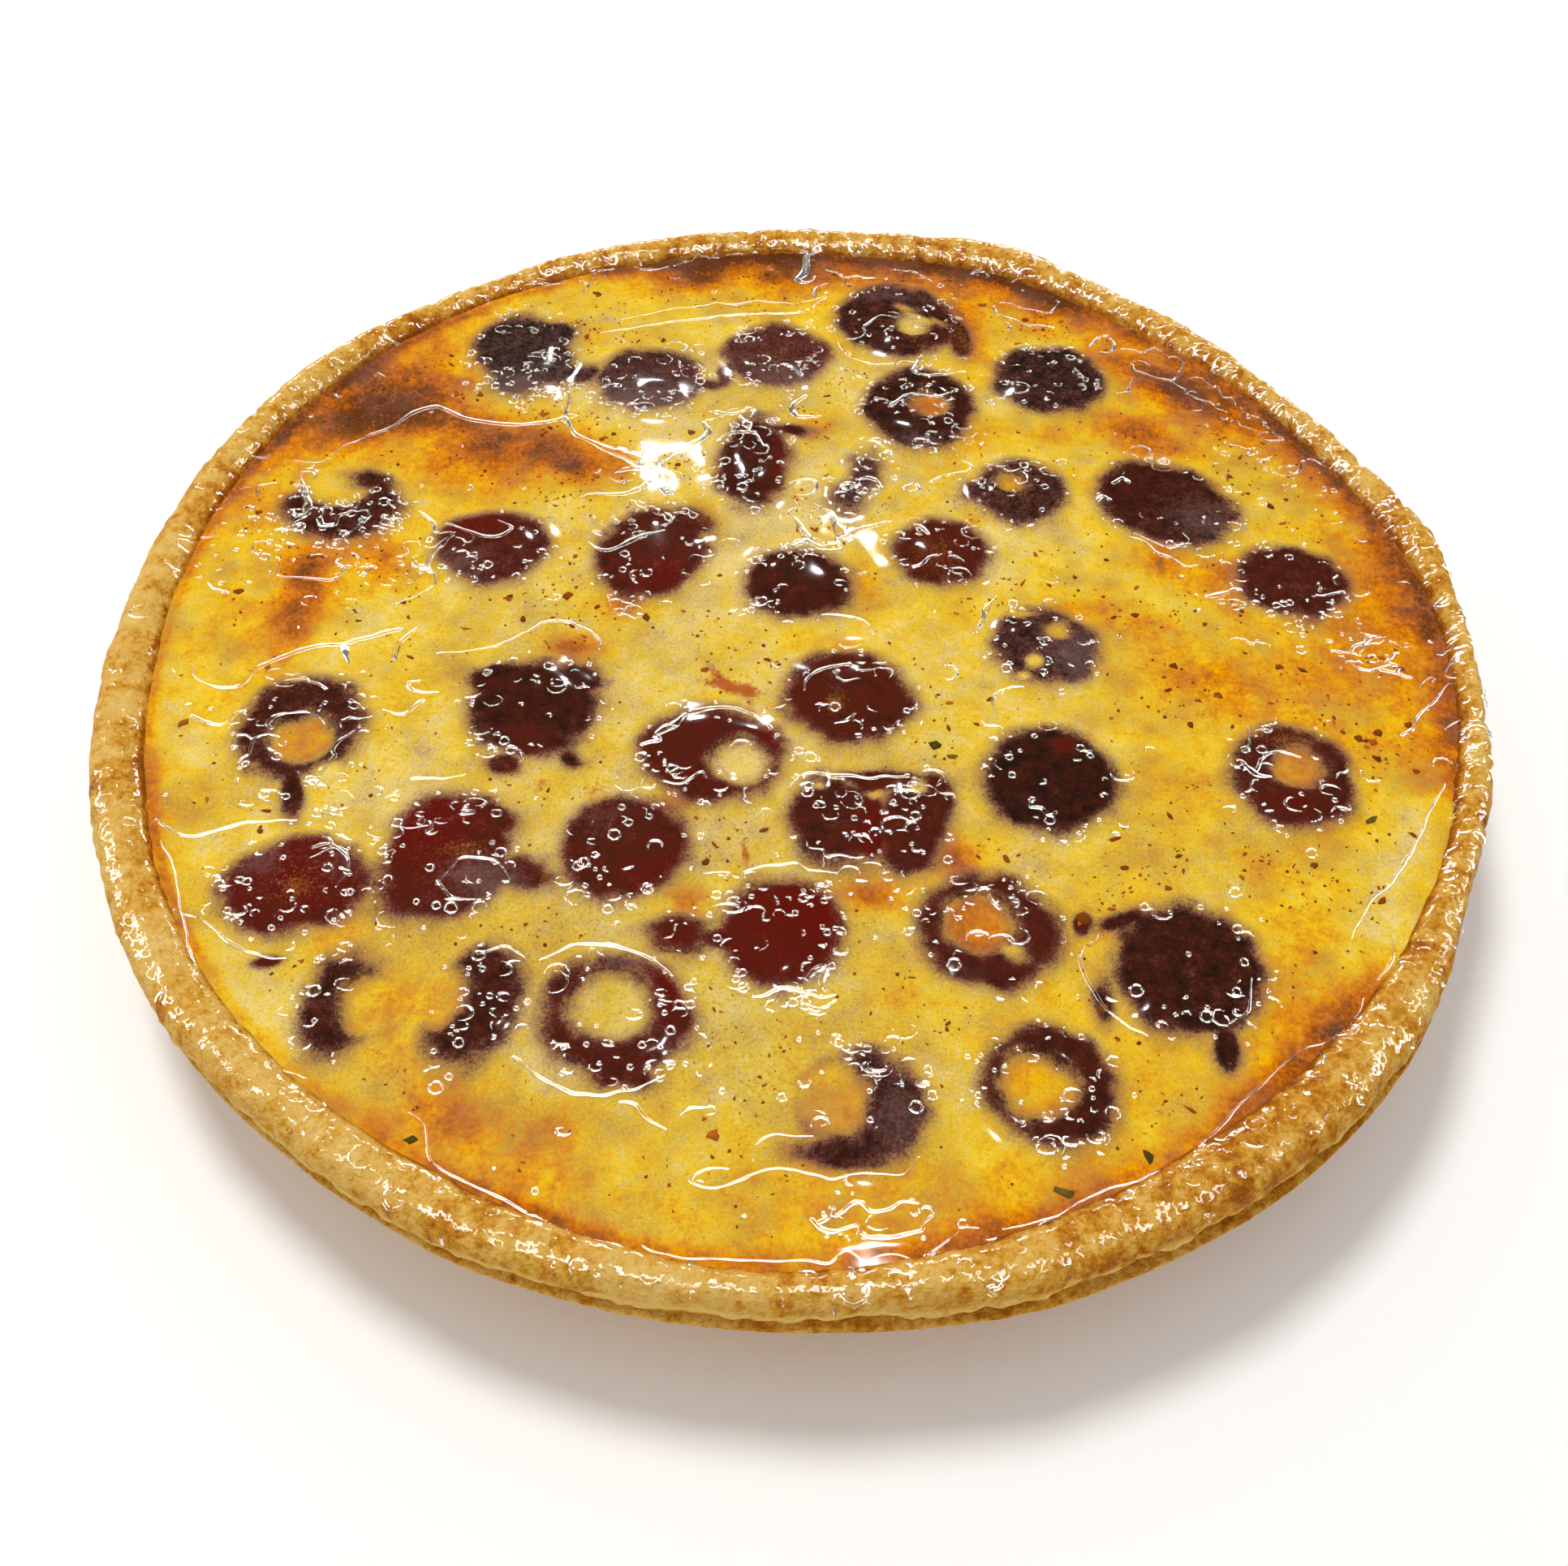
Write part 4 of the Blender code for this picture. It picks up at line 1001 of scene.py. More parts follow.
class Value:
    """A number that changes over a surface. It wraps a node's socket, and sums, products and so on
    of such numbers add the Math nodes that work them out."""

    def __init__(self, tree, socket):
        self.tree = tree
        self.socket = socket

    def math(self, operation, *numbers):
        node = self.tree.nodes.new("ShaderNodeMath")
        node.operation = operation
        for socket, number in zip(node.inputs, numbers):
            if isinstance(number, Value):
                self.tree.links.new(number.socket, socket)
            else:
                socket.default_value = number
        return Value(self.tree, node.outputs[0])

    def __add__(self, other):
        return self.math("ADD", self, other)

    def __sub__(self, other):
        return self.math("SUBTRACT", self, other)

    def __rsub__(self, other):
        return self.math("SUBTRACT", other, self)

    def __mul__(self, other):
        return self.math("MULTIPLY", self, other)

    def __truediv__(self, other):
        return self.math("DIVIDE", self, other)

    def __rtruediv__(self, other):
        return self.math("DIVIDE", other, self)

    def __pow__(self, power):
        return self.math("POWER", self, power)

    __radd__ = __add__
    __rmul__ = __mul__

    def clipped(self):
        """Kept between 0 and 1."""
        return self.math("MINIMUM", self.math("MAXIMUM", self, 0.0), 1.0)

    def step(self, low, high):
        """0 below low and 1 above high, with a smooth way between."""
        share = ((self - low) / (high - low)).clipped()
        return share * share * (3 - 2 * share)

    def lines(self, width):
        """Ridges where this number is zero."""
        return 1 / (1 + (self / width) ** 2)


class Finish:
    """One material. add() makes any node but a Math node: its settings first, then what its
    sockets hold or are linked to."""

    def __init__(self, name):
        self.material = bpy.data.materials.new(name)
        self.material.use_nodes = True
        self.tree = self.material.node_tree
        self.tree.nodes.clear()
        self.place = self.add("TexCoord").outputs["Object"]

    def add(self, kind, settings=None, sockets=None):
        node = self.tree.nodes.new("ShaderNode" + kind)
        for key, setting in (settings or {}).items():
            if key == "stops":
                self.fill_ramp(node.color_ramp, setting)
            else:
                setattr(node, key, setting)
        for key, content in (sockets or {}).items():
            socket = next(s for s in node.inputs if key in (s.identifier, s.name) and s.enabled)
            if isinstance(content, Value):
                content = content.socket
            if isinstance(content, bpy.types.NodeSocket):
                self.tree.links.new(content, socket)
            else:
                socket.default_value = content
        return node

    @staticmethod
    def fill_ramp(ramp, stops):
        while len(ramp.elements) < len(stops):
            ramp.elements.new(1.0)
        for element, (place, colour) in zip(ramp.elements, stops):
            element.position = place
            element.color = colour

    def value(self, node):
        return Value(self.tree, node.outputs["Fac"])

    def attribute(self, name):
        return self.value(self.add("Attribute", {"attribute_name": name}))

    def noise(self, size, detail, roughness):
        """Noise from 0 to 1 with lumps about size millimetres wide."""
        sockets = {"Vector": self.place, "Scale": 1 / (size * MM)}
        sockets.update({"Detail": detail, "Roughness": roughness})
        return self.value(self.add("TexNoise", {}, sockets))

    def mix(self, factor, first, second):
        """The second colour over the first by a factor from 0 to 1."""
        sockets = {"Factor_Float": factor, "A_Color": first, "B_Color": second}
        node = self.add("Mix", {"data_type": "RGBA"}, sockets)
        return next(s for s in node.outputs if s.identifier == "Result_Color")

    def ramp(self, factor, stops):
        return self.add("ValToRGB", {"stops": stops}, {"Fac": factor}).outputs["Color"]

    def bump(self, height):
        """A normal from a height in millimetres."""
        sockets = {"Height": height, "Distance": MM, "Strength": 1.0}
        return self.add("Bump", {}, sockets).outputs["Normal"]

    def surface(self, shader):
        """The finished material, from a shader's output."""
        self.add("OutputMaterial", {}, {"Surface": shader})
        return self.material

    def principled(self, sockets):
        """The finished material, from what a Principled shader's sockets hold."""
        return self.surface(self.add("BsdfPrincipled", {}, sockets).outputs[0])


# ------------------------------------------------------------------------------------------------
# The pastry case
# ------------------------------------------------------------------------------------------------
CRUST_TURNS = 1220  # points round the case
HUB = 4.0  # radius of the first ring round the middle of the base and floor
SECOND_LIP_DIRECTION, SECOND_LIP_HALF_WIDTH = -52, 30  # degrees from +X


def line(start, end, steps):
    """Points from start towards end, without end."""
    share = np.arange(steps)[:, None] / steps
    return np.array(start) + (np.array(end) - np.array(start)) * share


def arc(middle, half_width, half_height, start, end, steps):
    """Points along an ellipse between two angles in degrees, without the last."""
    angle = np.radians(start + (end - start) * np.arange(steps) / steps)
    return np.array(middle) + np.stack(
        [half_width * np.cos(angle), half_height * np.sin(angle)], axis=-1
    )


def crust_section():
    """The pastry's section as (radius, height) points, from the middle of its base out, up, over
    the roll and back inside."""
    bead = (RIM_RADIUS - BEAD_HALF_WIDTH, CREST_HEIGHT - BEAD_HALF_HEIGHT)
    lip = (RIM_RADIUS - 3.0, bead[1] - 5.3)
    seam = (RIM_RADIUS - 2.5, (bead[1] + lip[1]) / 2 - 0.7)
    wall_top = (RIM_RADIUS - 8.6, lip[1] - LIP_HALF_HEIGHT)
    wall_foot = (INNER_WALL_FOOT + INNER_FOOT_WIDTH, FLOOR_THICKNESS + INNER_FOOT_HEIGHT)
    lip_line = arc(lip, LIP_HALF_WIDTH, LIP_HALF_HEIGHT, -100, 40, 11)
    bead_line = arc(bead, BEAD_HALF_WIDTH, BEAD_HALF_HEIGHT, -40, 190, 34)
    return np.concatenate(
        [
            line((HUB, 0.0), (BASE_RADIUS - BASE_FILLET, 0.0), 3),
            arc((BASE_RADIUS - BASE_FILLET, BASE_FILLET), BASE_FILLET, BASE_FILLET, -90, 0, 4),
            line((BASE_RADIUS, BASE_FILLET), wall_top, 12),
            line(wall_top, lip_line[0], 3),
            lip_line,
            line(lip_line[-1], seam, 3)[1:],
            line(seam, bead_line[0], 3),
            bead_line,
            line(bead_line[-1], wall_foot, 6)[1:],
            line((INNER_WALL_FOOT, FLOOR_THICKNESS), (HUB, FLOOR_THICKNESS), 3),
            [(HUB, FLOOR_THICKNESS)],
        ]
    )


def crust_finish(settings):
    finish = Finish("baked_pastry")
    # The baked value carries painted light too: a pale band that brightens the shaded outer face of the
    # roll
    baked = finish.attribute("baked")
    mottle = finish.noise(2.2, 4, 0.65) - 0.5
    fine = finish.noise(0.9, 2, 0.7) - 0.5
    factor = (baked + mottle * 1.4 + fine * 0.9).clipped()
    colour = finish.ramp(
        factor,
        (
            (0.0, settings.pale),
            (0.40, linear(218, 168, 76)),
            (0.58, settings.golden),
            (0.80, linear(180, 108, 28)),
            (1.0, settings.brown),
        ),
    )
    creases = (finish.noise(1.9, 2, 0.6) - 0.5).lines(0.05)
    gloss = (creases * 0.8 + mottle + fine).step(0.35, 0.80)
    sockets = {
        "Base Color": colour,
        "Roughness": 0.6,
        "Coat Weight": finish.attribute("washed") * gloss * 0.6,
        "Coat Roughness": 0.10,
        "Specular IOR Level": 0.0,
        "Normal": finish.bump(creases * 0.13 + mottle * 0.5 + fine * 0.5),
    }
    return finish.principled(sockets)


class FLAN_OT_crust(bpy.types.Operator):
    """Bakes the pastry case: its section swept round the rim, pushed out by lumps, wrinkles across
    the roll, pleats, small blisters and a flaky seam"""

    bl_idname = "flan.crust"
    bl_label = "Pastry case"

    def execute(self, context):
        settings = context.scene.flan_crust
        section = crust_section()
        along = np.gradient(section, axis=0)
        along /= np.linalg.norm(along, axis=1, keepdims=True)
        angle, number = np.meshgrid(
            np.arange(CRUST_TURNS) * 2 * math.pi / CRUST_TURNS, np.arange(len(section))
        )
        radius, height = push_rim(angle, section[number, 0], section[number, 1])
        out, up = along[number, 1], -along[number, 0]
        x, y = radius * np.cos(angle), radius * np.sin(angle)
        shown = smooth_step(18, 24, height)
        relief = self.relief(settings, angle, x, y, height) * shown
        outside = smooth_step(114, 116, radius)
        seam = bell(height, 23.2, 1.1) * outside
        height = height + seam * (0.7 * noise(x, y, 0, 9, 21) + 0.3 * noise(x, y, 0, 2.4, 22))
        flaky = 0.45 * noise(x, y, 0, 1.7, 23) + 0.35 * noise(x, y, 0, 5.5, 24)
        flaky = flaky * bell(height, 25.0, 0.9) * outside
        apart = bell(degrees_past(angle, SECOND_LIP_DIRECTION), 0, SECOND_LIP_HALF_WIDTH)
        second = apart * smooth_step(22.6, 21.6, height) * smooth_step(17.0, 20.0, height)
        radius = radius + relief * out + flaky + second * outside
        points = cylinder_points(angle, radius, height + relief * up).reshape(-1, 3)
        poles = np.array([(0.0, 0.0, 0.0), (0.0, 0.0, FLOOR_THICKNESS)])
        points = np.concatenate([points, poles])
        faces = skin_faces(len(section), CRUST_TURNS)
        values = self.looks(angle, radius, height, x, y)
        values = {key: np.append(value.ravel(), (0.0, 0.0)) for key, value in values.items()}
        finish = crust_finish(settings)
        make_piece("pastry_case", points, *faces, finish, "pastry", ("crust",), values)
        return {"FINISHED"}

    @staticmethod
    def relief(settings, angle, x, y, height):
        """How far the surface stands out, in millimetres: slow and quick noise for the lumps, noise
        stretched across the rim for the wrinkles, bumps where noise is high for the blisters, and
        for each pleat a groove that is a bell of the direction."""
        lumps = noise(x, y, height, 10, 1) * 0.7 + noise(x, y, height, 4.5, 2) * 0.5
        swept = angle * RIM_RADIUS
        wrinkles = noise(swept, height * 0.35, 0.2 * height, 1.7, 3) * smooth_step(
            -0.4, 0.5, noise(x, y, height, 24, 4) + 0.25 * np.cos(angle - 0.2)
        )
        blisters = smooth_step(0.1, 0.8, noise(x, y, height, 1.5, 5)) * 1.2
        relief = lumps * settings.lumps + wrinkles * settings.wrinkles
        relief = (relief + blisters * settings.blisters) / MM - 0.5
        swerve = 0.5 * noise(height, x * 0.1, y * 0.1, 4, 6)
        for direction in RIM_PLEATS:
            groove = bell(degrees_past(angle, direction) + swerve, 0, 0.42)
            relief -= 0.55 * groove * smooth_step(24, 27, height)
        return relief

    @staticmethod
    def looks(angle, radius, height, x, y):
        """How baked the pastry is, from 0 to 1, with some painted light in it, and how much egg wash is
        on it.
        It goes by slow and quick noise, the browned directions, a dark fold at the inner foot of the
        roll, a pale band on the outside of the roll above the lip, which is partly the pale flaky edge
        and partly painted light that brightens the shaded, down-facing outside, with a dark line under
        it, and one smear."""
        inner, outer = by_direction(INNER, angle), by_direction(OUTER, angle)
        across = (radius - inner) / (outer - inner)
        baked = 0.44 + 0.12 * noise(x, y, height, 16, 11) + 0.14 * noise(x, y, height, 6, 12)
        crinkled = noise(angle * RIM_RADIUS, height * 0.3, across * 3.0, 2.0, 15)
        baked = baked + 0.22 * crinkled * smooth_step(23.5, 25.5, height)
        for direction, half_width, strength in RIM_BROWNED:
            baked = baked + strength * bell(degrees_past(angle, direction), 0, half_width)
        fold = bell(across, 0.06, 0.12) * smooth_step(29.8, 28.2, height)
        near_side = smooth_step(0.65, 0.1, np.sin(angle))
        left_side = smooth_step(0.2, 0.7, -np.cos(angle))
        fold = fold * (0.45 + 0.55 * np.maximum(near_side, left_side))
        baked = baked + 0.46 * fold * (0.8 + 0.5 * noise(x, y, 0, 12, 13))
        baked = baked - 0.12 * bell(across, 0.62, 0.22)
        outside = smooth_step(0.6, 0.75, across)
        # Painted light: this pale band is partly the pale flaky edge and partly lightening that stands in
        # for light on the shaded, down-facing outer face of the roll
        baked = baked - 0.62 * bell(height, 25.4, 1.1) * outside
        baked = baked + 0.30 * bell(height, 23.1, 0.6) * outside
        smear = bell(x, -110, 5) * bell(y, -40, 2.2)
        washed = smooth_step(25.0, 28.5, height) * (0.75 + 0.35 * noise(x, y, height, 9, 14))
        return {"baked": baked + 0.7 * smear, "washed": np.clip(washed, 0, 1)}


# ------------------------------------------------------------------------------------------------
# The custard
# ------------------------------------------------------------------------------------------------
CUSTARD_GRID = 300


def tart_top_finish(name, custard, fruit):
    """The colours of custard and fruit in one finish, which both wear, so that the speckled edge
    between them runs on from one piece to the other."""
    finish = Finish(name)
    blotch = finish.noise(8.0, 2, 0.5) - 0.5
    mottle = finish.noise(2.6, 4, 0.62) - 0.5
    fine = finish.noise(0.75, 2, 0.75) - 0.5
    speckle = finish.noise(0.42, 1, 0.8) - 0.5
    browned = finish.attribute("browned")
    factor = browned + blotch * 0.50 + mottle * 0.75 + fine * 0.60 + speckle * 0.25
    colour = finish.ramp(
        factor.clipped(),
        (
            (0.0, custard.cream),
            (0.20, linear(242, 206, 58)),
            (0.38, custard.yellow),
            (0.56, custard.amber),
            (0.74, linear(196, 104, 10)),
            (0.88, custard.brown),
            (1.0, custard.burnt),
        ),
    )
    olive = (finish.attribute("olive") + mottle * 0.9 + fine * 0.9 + speckle * 0.4).clipped()
    colour = finish.mix(olive * 0.6, colour, custard.olive)
    red = (finish.attribute("red") + fine * 0.9 + mottle * 0.5).step(0.25, 0.8)
    colour = finish.mix(red * 0.85, colour, custard.red)
    specks = (finish.noise(1.2, 3, 0.75) - 0.5).step(0.13, 0.21)
    colour = finish.mix(specks * 0.5, colour, linear(160, 92, 24))
    grain = (finish.noise(0.55, 2, 0.7) - 0.5 + fine * 0.5).step(0.0, 0.22)
    grain = grain * (finish.attribute("olive") * 0.7 + 0.04).clipped() * (1 - browned.step(0.5, 0.8))
    colour = finish.mix(grain, colour, linear(158, 122, 40))
    edge = finish.attribute("edge")
    tone = (finish.attribute("tone") + mottle * 1.1 + fine * 0.5).clipped()
    skin = finish.ramp(tone, ((0.0, fruit.dark), (0.5, fruit.maroon), (0.95, fruit.red)))
    veiled = (finish.attribute("veil") + mottle * 0.8 + speckle * 0.9 + fine * 0.7 - 0.3).step(0, 1)
    skin = finish.mix(veiled * 0.6, skin, fruit.veil)
    rind = (edge + mottle * 3.0 + speckle * 2.0).step(-2.0, 0.4)
    skin = finish.mix(rind * 0.55, skin, custard.stain)
    cream = (finish.attribute("cream") + speckle * 0.7 + fine * 0.5).step(0.10, 0.85)
    skin = finish.mix(cream * 0.9, skin, linear(176, 116, 50))
    halo = (edge + speckle * 4.0 + fine * 3.0 + mottle * 2.0).step(3.0, 0.3)
    colour = finish.mix(halo * 0.5, colour, custard.stain)
    ragged = edge + speckle * 2.0 + fine * 2.0 + mottle * 2.4
    covered = ragged.step(-1.1, 1.2)
    shown = finish.mix(covered, skin, colour)
    return finish.principled({"Base Color": shown, "Roughness": 0.9, "Specular IOR Level": 0.0})


def top_looks(x, y):
    """What the finish of custard and fruit needs at each point: how browned, olive or red the
    custard is, the distance to the fruit that shows, with its lobes and covers, and that fruit's
    tone, veil and cream."""
    fruit, which, hole = nearest_fruit(x, y)
    fruit = np.minimum(fruit, (0.35 - patches(LOBES, x, y)) * 6.0)
    fruit = np.maximum(fruit, (patches(COVERS, x, y) - 0.5) * 5.0)
    browned = 0.30 + patches(BROWNED, x, y) + 0.10 * noise(x, y, 0, 13, 43)
    angle = np.arctan2(y, x)
    inward = by_direction(INNER, angle) - np.hypot(x, y)
    band = 2.6 + 1.3 * np.cos(angle - 0.35) + 0.9 * noise(x, y, 0, 15, 44)
    browned = browned + 0.34 * bell(inward, 0, np.maximum(band, 0.7))
    in_holes = np.array([cherry.mouth.browned if cherry.mouth else 0.0 for cherry in CHERRIES])
    filled = smooth_step(-0.5, 1.0, hole)
    browned = browned * (1 - filled) + in_holes[which] * filled
    near = np.exp(-np.maximum(fruit, 0) / 3.0) * (1 - filled)
    olive = patches(OLIVE_PATCHES, x, y) + 0.22 * near
    wobble = 0.9 * noise(x, y, 0, 5, 41) + 0.5 * noise(x, y, 0, 2.2, 42)
    tones = np.array([cherry.tone for cherry in CHERRIES])
    veils = np.array([cherry.veil for cherry in CHERRIES])
    return {
        "browned": browned - 0.08 * near,
        "olive": olive * smooth_step(0.75, 0.45, browned),
        "red": patches(RED_STREAKS, x, y),
        "edge": np.clip(fruit + wobble, -9, 9),
        "tone": tones[which] + patches(CHERRY_RED, x, y),
        "veil": veils[which] + patches(CHERRY_VEIL, x, y),
        "cream": patches(CHERRY_CREAM, x, y),
    }


class FLAN_OT_custard(bpy.types.Operator):
    """Sets the custard: a disc of points at the custard's height plus grain, dished under each
    cherry, closed below by the case's inside form"""

    bl_idname = "flan.custard"
    bl_label = "Custard"

    def execute(self, context):
        settings = context.scene.flan_custard
        x, y, loop = disc_to_rim(CUSTARD_GRID, 1.1)
        grain = noise(x, y, 0, 2.2, 31) + 0.6 * noise(x, y, 0, 1.3, 32)
        height = custard_top(x, y) + grain * settings.grain / MM
        height = height + collar(x, y) - self.dishes(x, y)
        points = np.stack([x, y, height], axis=-1)
        around = np.arctan2(y[loop], x[loop])
        rings = [self.ring(around, radius, level) for radius, level in self.inside()]
        pole = (0.0, 0.0, FLOOR_THICKNESS + FIT_GAP)
        points, sides, below = closed_below(points, loop, rings, pole)
        quads = np.concatenate([grid_faces(CUSTARD_GRID, CUSTARD_GRID), sides])
        finish = tart_top_finish("set_custard", settings, context.scene.flan_cherries)
        values = top_looks(points[:, 0], points[:, 1])
        make_piece("custard_set", points, quads, below, finish, "custard", ("custard",), values)
        return {"FINISHED"}

    @staticmethod
    def inside():
        """The section of the case's inside, drawn in by the gap, from the top down."""
        foot, floor = INNER_WALL_FOOT - FIT_GAP, FLOOR_THICKNESS + FIT_GAP
        return (
            (INNER_EDGE - 1.2 - FIT_GAP, CREST_HEIGHT - BEAD_HALF_HEIGHT - 3.5),
            (foot + INNER_FOOT_WIDTH, floor + INNER_FOOT_HEIGHT),
            (foot, floor),
        )

    @staticmethod
    def ring(angle, radius, height):
        flat = np.full_like(angle, radius)
        pushed, level = push_rim(angle, flat, np.full_like(angle, height))
        return cylinder_points(angle, pushed, level)

    @staticmethod
    def dishes(x, y):
        """The dish under each cherry, which starts well inside the cherry's outline and stays away
        from its pit hole."""
        depth = np.zeros_like(x)
        for share, _, hole in in_cherries(x, y):
            away = 1 - smooth_step(-1.8, -0.6, hole)
            depth = np.maximum(depth, DISH_DEPTH * smooth_step(0.9, 0.6, share) * away)
        return depth


# ------------------------------------------------------------------------------------------------
# The cherries
# ------------------------------------------------------------------------------------------------
CHERRY_TURNS = 72
CAP_RINGS, BOWL_RINGS = 30, 9


class FLAN_OT_cherries(bpy.types.Operator):
    """Sits a pitted cherry in each packed cherry's place: a flat cap with round shoulders over a
    round bowl, wrinkled, and sunk where the custard fills its pit hole"""

    bl_idname = "flan.cherries"
    bl_label = "Cherries"

    def execute(self, context):
        scene = context.scene
        finish = tart_top_finish("baked_cherry", scene.flan_custard, scene.flan_cherries)
        for index, cherry in enumerate(CHERRIES, start=1):
            self.check_place(index, cherry)
            self.make_cherry(index, cherry, finish)
        return {"FINISHED"}

    @staticmethod
    def check_place(index, cherry):
        """Raises an error if a cherry isn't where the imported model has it."""
        low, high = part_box(f"cherry_{index:02d}")
        inside = low.x < cherry.x * MM < high.x and low.y < cherry.y * MM < high.y
        reach = max(cherry.width, cherry.depth)
        if cherry.mouth is None and not inside or (high - low).x > 1.3 * reach * MM:
            raise RuntimeError(f"cherry {index} isn't where the packed model has it")

    @staticmethod
    def make_cherry(index, cherry, finish):
        """Cap: height times (1 - out^(2 / power))^(power / 2) for out from 0 to 1, which is the
        packed cap's form. Bowl: a half ellipse below the widest line. The rows run from the top
        down, so the faces are turned over to point out."""
        out_cap = np.linspace(0, 1, CAP_RINGS + 1)[1:] ** 0.72
        dip = np.linspace(0, math.pi / 2, BOWL_RINGS + 1)[1:-1]
        bowl = BODY_SHARE * min(cherry.width, cherry.depth)
        out = np.concatenate([out_cap, np.cos(dip)])
        cap = CAP_HEIGHT * np.clip(1 - out_cap ** (2 / CAP_POWER), 0, 1) ** (CAP_POWER / 2)
        rise = np.concatenate([cap, -np.sin(dip) * bowl])
        around = np.arange(CHERRY_TURNS) * 2 * math.pi / CHERRY_TURNS
        around, out = np.meshgrid(around, out)
        rise = np.broadcast_to(rise[:, None], out.shape)
        along = out * np.cos(around) * cherry.width / 2 * dent(index, around)
        across = out * np.sin(around) * cherry.depth / 2 * dent(index, around)
        along, across, out = (np.append(part.ravel(), (0, 0)) for part in (along, across, out))
        rise = np.append(rise.ravel(), (CAP_HEIGHT, -bowl))
        turn = math.radians(cherry.turn)
        x = cherry.x + along * math.cos(turn) - across * math.sin(turn)
        y = cherry.y + across * math.cos(turn) + along * math.sin(turn)
        top = rise > 0
        folds = noise(x, y, rise, 6.5, 50 + index) + 0.5 * noise(x, y, rise, 2.6, 51 + index)
        edge = smooth_step(1.0, 0.8, out)
        sink = smooth_step(-1.1, 0.9, in_mouth(cherry, along, across)) * top
        height = custard_top(cherry.x, cherry.y) + CHERRY_PROUD - CAP_HEIGHT + rise
        height = height + cherry.crease * folds * edge * top - SINK_DEPTH * sink
        points = np.stack([x, y, height], axis=-1)
        faces = skin_faces(CAP_RINGS + BOWL_RINGS - 1, CHERRY_TURNS)
        faces = [rows[:, ::-1] for rows in faces]
        name = f"cherry_{index:02d}"
        values = top_looks(x, y)
        make_piece(f"{name}_fruit", points, *faces, finish, "cherry", (name,), values)


# ------------------------------------------------------------------------------------------------
# The glaze
# ------------------------------------------------------------------------------------------------
GLAZE_GRID = 306
BEAD_SIDES = 7
FOLD_STEPS = 68
HOOK_STEPS = 8
BUBBLE_STEPS = 15
GLAZE_INDEX = 1.42  # how strongly it refracts, which sets how much it mirrors
HOOK_SEED, BUBBLE_SEED = 9, 7


def glaze_top(x, y, waves, film):
    """The glaze's height: the film's thickness over the custard, a little more over each cherry,
    less in its pit hole, plus slow waves, and quick ones where it is lively."""
    level = np.zeros_like(x)
    for share, _, hole in in_cherries(x, y):
        mound = 1 / (1 + np.exp((10 * (share - 1) + 1.2) / 1.7))
        level = np.maximum(level, mound * (1 - 0.7 * smooth_step(-2.0, 2.4, hole)))
    lively = liveliness(x, y)
    slow = noise(x, y, 0, 19, 61) + 0.5 * noise(x, y, 0, 9, 62)
    quick = noise(x, y, 0, 4.5, 65) * lively
    over = CHERRY_PROUD + 0.42 - film
    return custard_top(x, y) + film + over * level + waves * (0.7 * slow + 0.7 * quick)


def liveliness(x, y):
    """How full of small waves the glaze is, from 0 to 1: near cherries and in lively places."""
    fruit = nearest_fruit(x, y)[0]
    near = bell(np.maximum(fruit, 0), 0, 2.4) * smooth_step(-10.0, -3.0, fruit)
    uneven = 0.6 + 0.5 * noise(x, y, 0, 8, 67)
    return np.clip(0.9 * near * uneven + 0.8 * patches(LIVELY, x, y), 0, 1)


def glaze_finish(settings, name, roughness):
    """Clear glaze: a Fresnel share of the light is mirrored, and the rest passes."""
    finish = Finish(name)
    mirror = finish.add("BsdfGlossy", {}, {"Color": (1, 1, 1, 1), "Roughness": roughness})
    clear = finish.add("BsdfTransparent", {}, {"Color": settings.tint})
    share = finish.value(finish.add("Fresnel", {}, {"IOR": GLAZE_INDEX}))
    sockets = {"Fac": share, "Shader": clear.outputs[0], "Shader_001": mirror.outputs[0]}
    return finish.surface(finish.add("MixShader", {}, sockets).outputs[0])


def make_glaze(name, points, quads, triangles, finish):
    """A piece of glaze, which casts no shadow because it is clear."""
    piece = make_piece(name, points, quads, triangles, finish, "glaze")
    piece.visible_shadow = False
    piece.visible_diffuse = False


class FLAN_OT_glaze(bpy.types.Operator):
    """Pours the clear glaze over custard and cherries, up to the pastry, as a closed sheet whose
    underside is just below the custard's top"""

    bl_idname = "flan.glaze"
    bl_label = "Glaze"

    def execute(self, context):
        settings = context.scene.flan_glaze
        x, y, loop = disc_to_rim(GLAZE_GRID, 1.5)
        height = glaze_top(x, y, settings.waves / MM, settings.film / MM)
        points = np.stack([x, y, height], axis=-1)
        depth = CUSTARD_LEVEL - 1.2
        ring = np.stack([x[loop], y[loop], np.full(len(loop), depth)], axis=-1)
        points, sides, below = closed_below(points, loop, [ring], (0.0, 0.0, depth))
        quads = np.concatenate([grid_faces(GLAZE_GRID, GLAZE_GRID), sides])
        finish = glaze_finish(settings, "clear_glaze", 0.045)
        make_glaze("glaze_film", points, quads, below, finish)
        return {"FINISHED"}


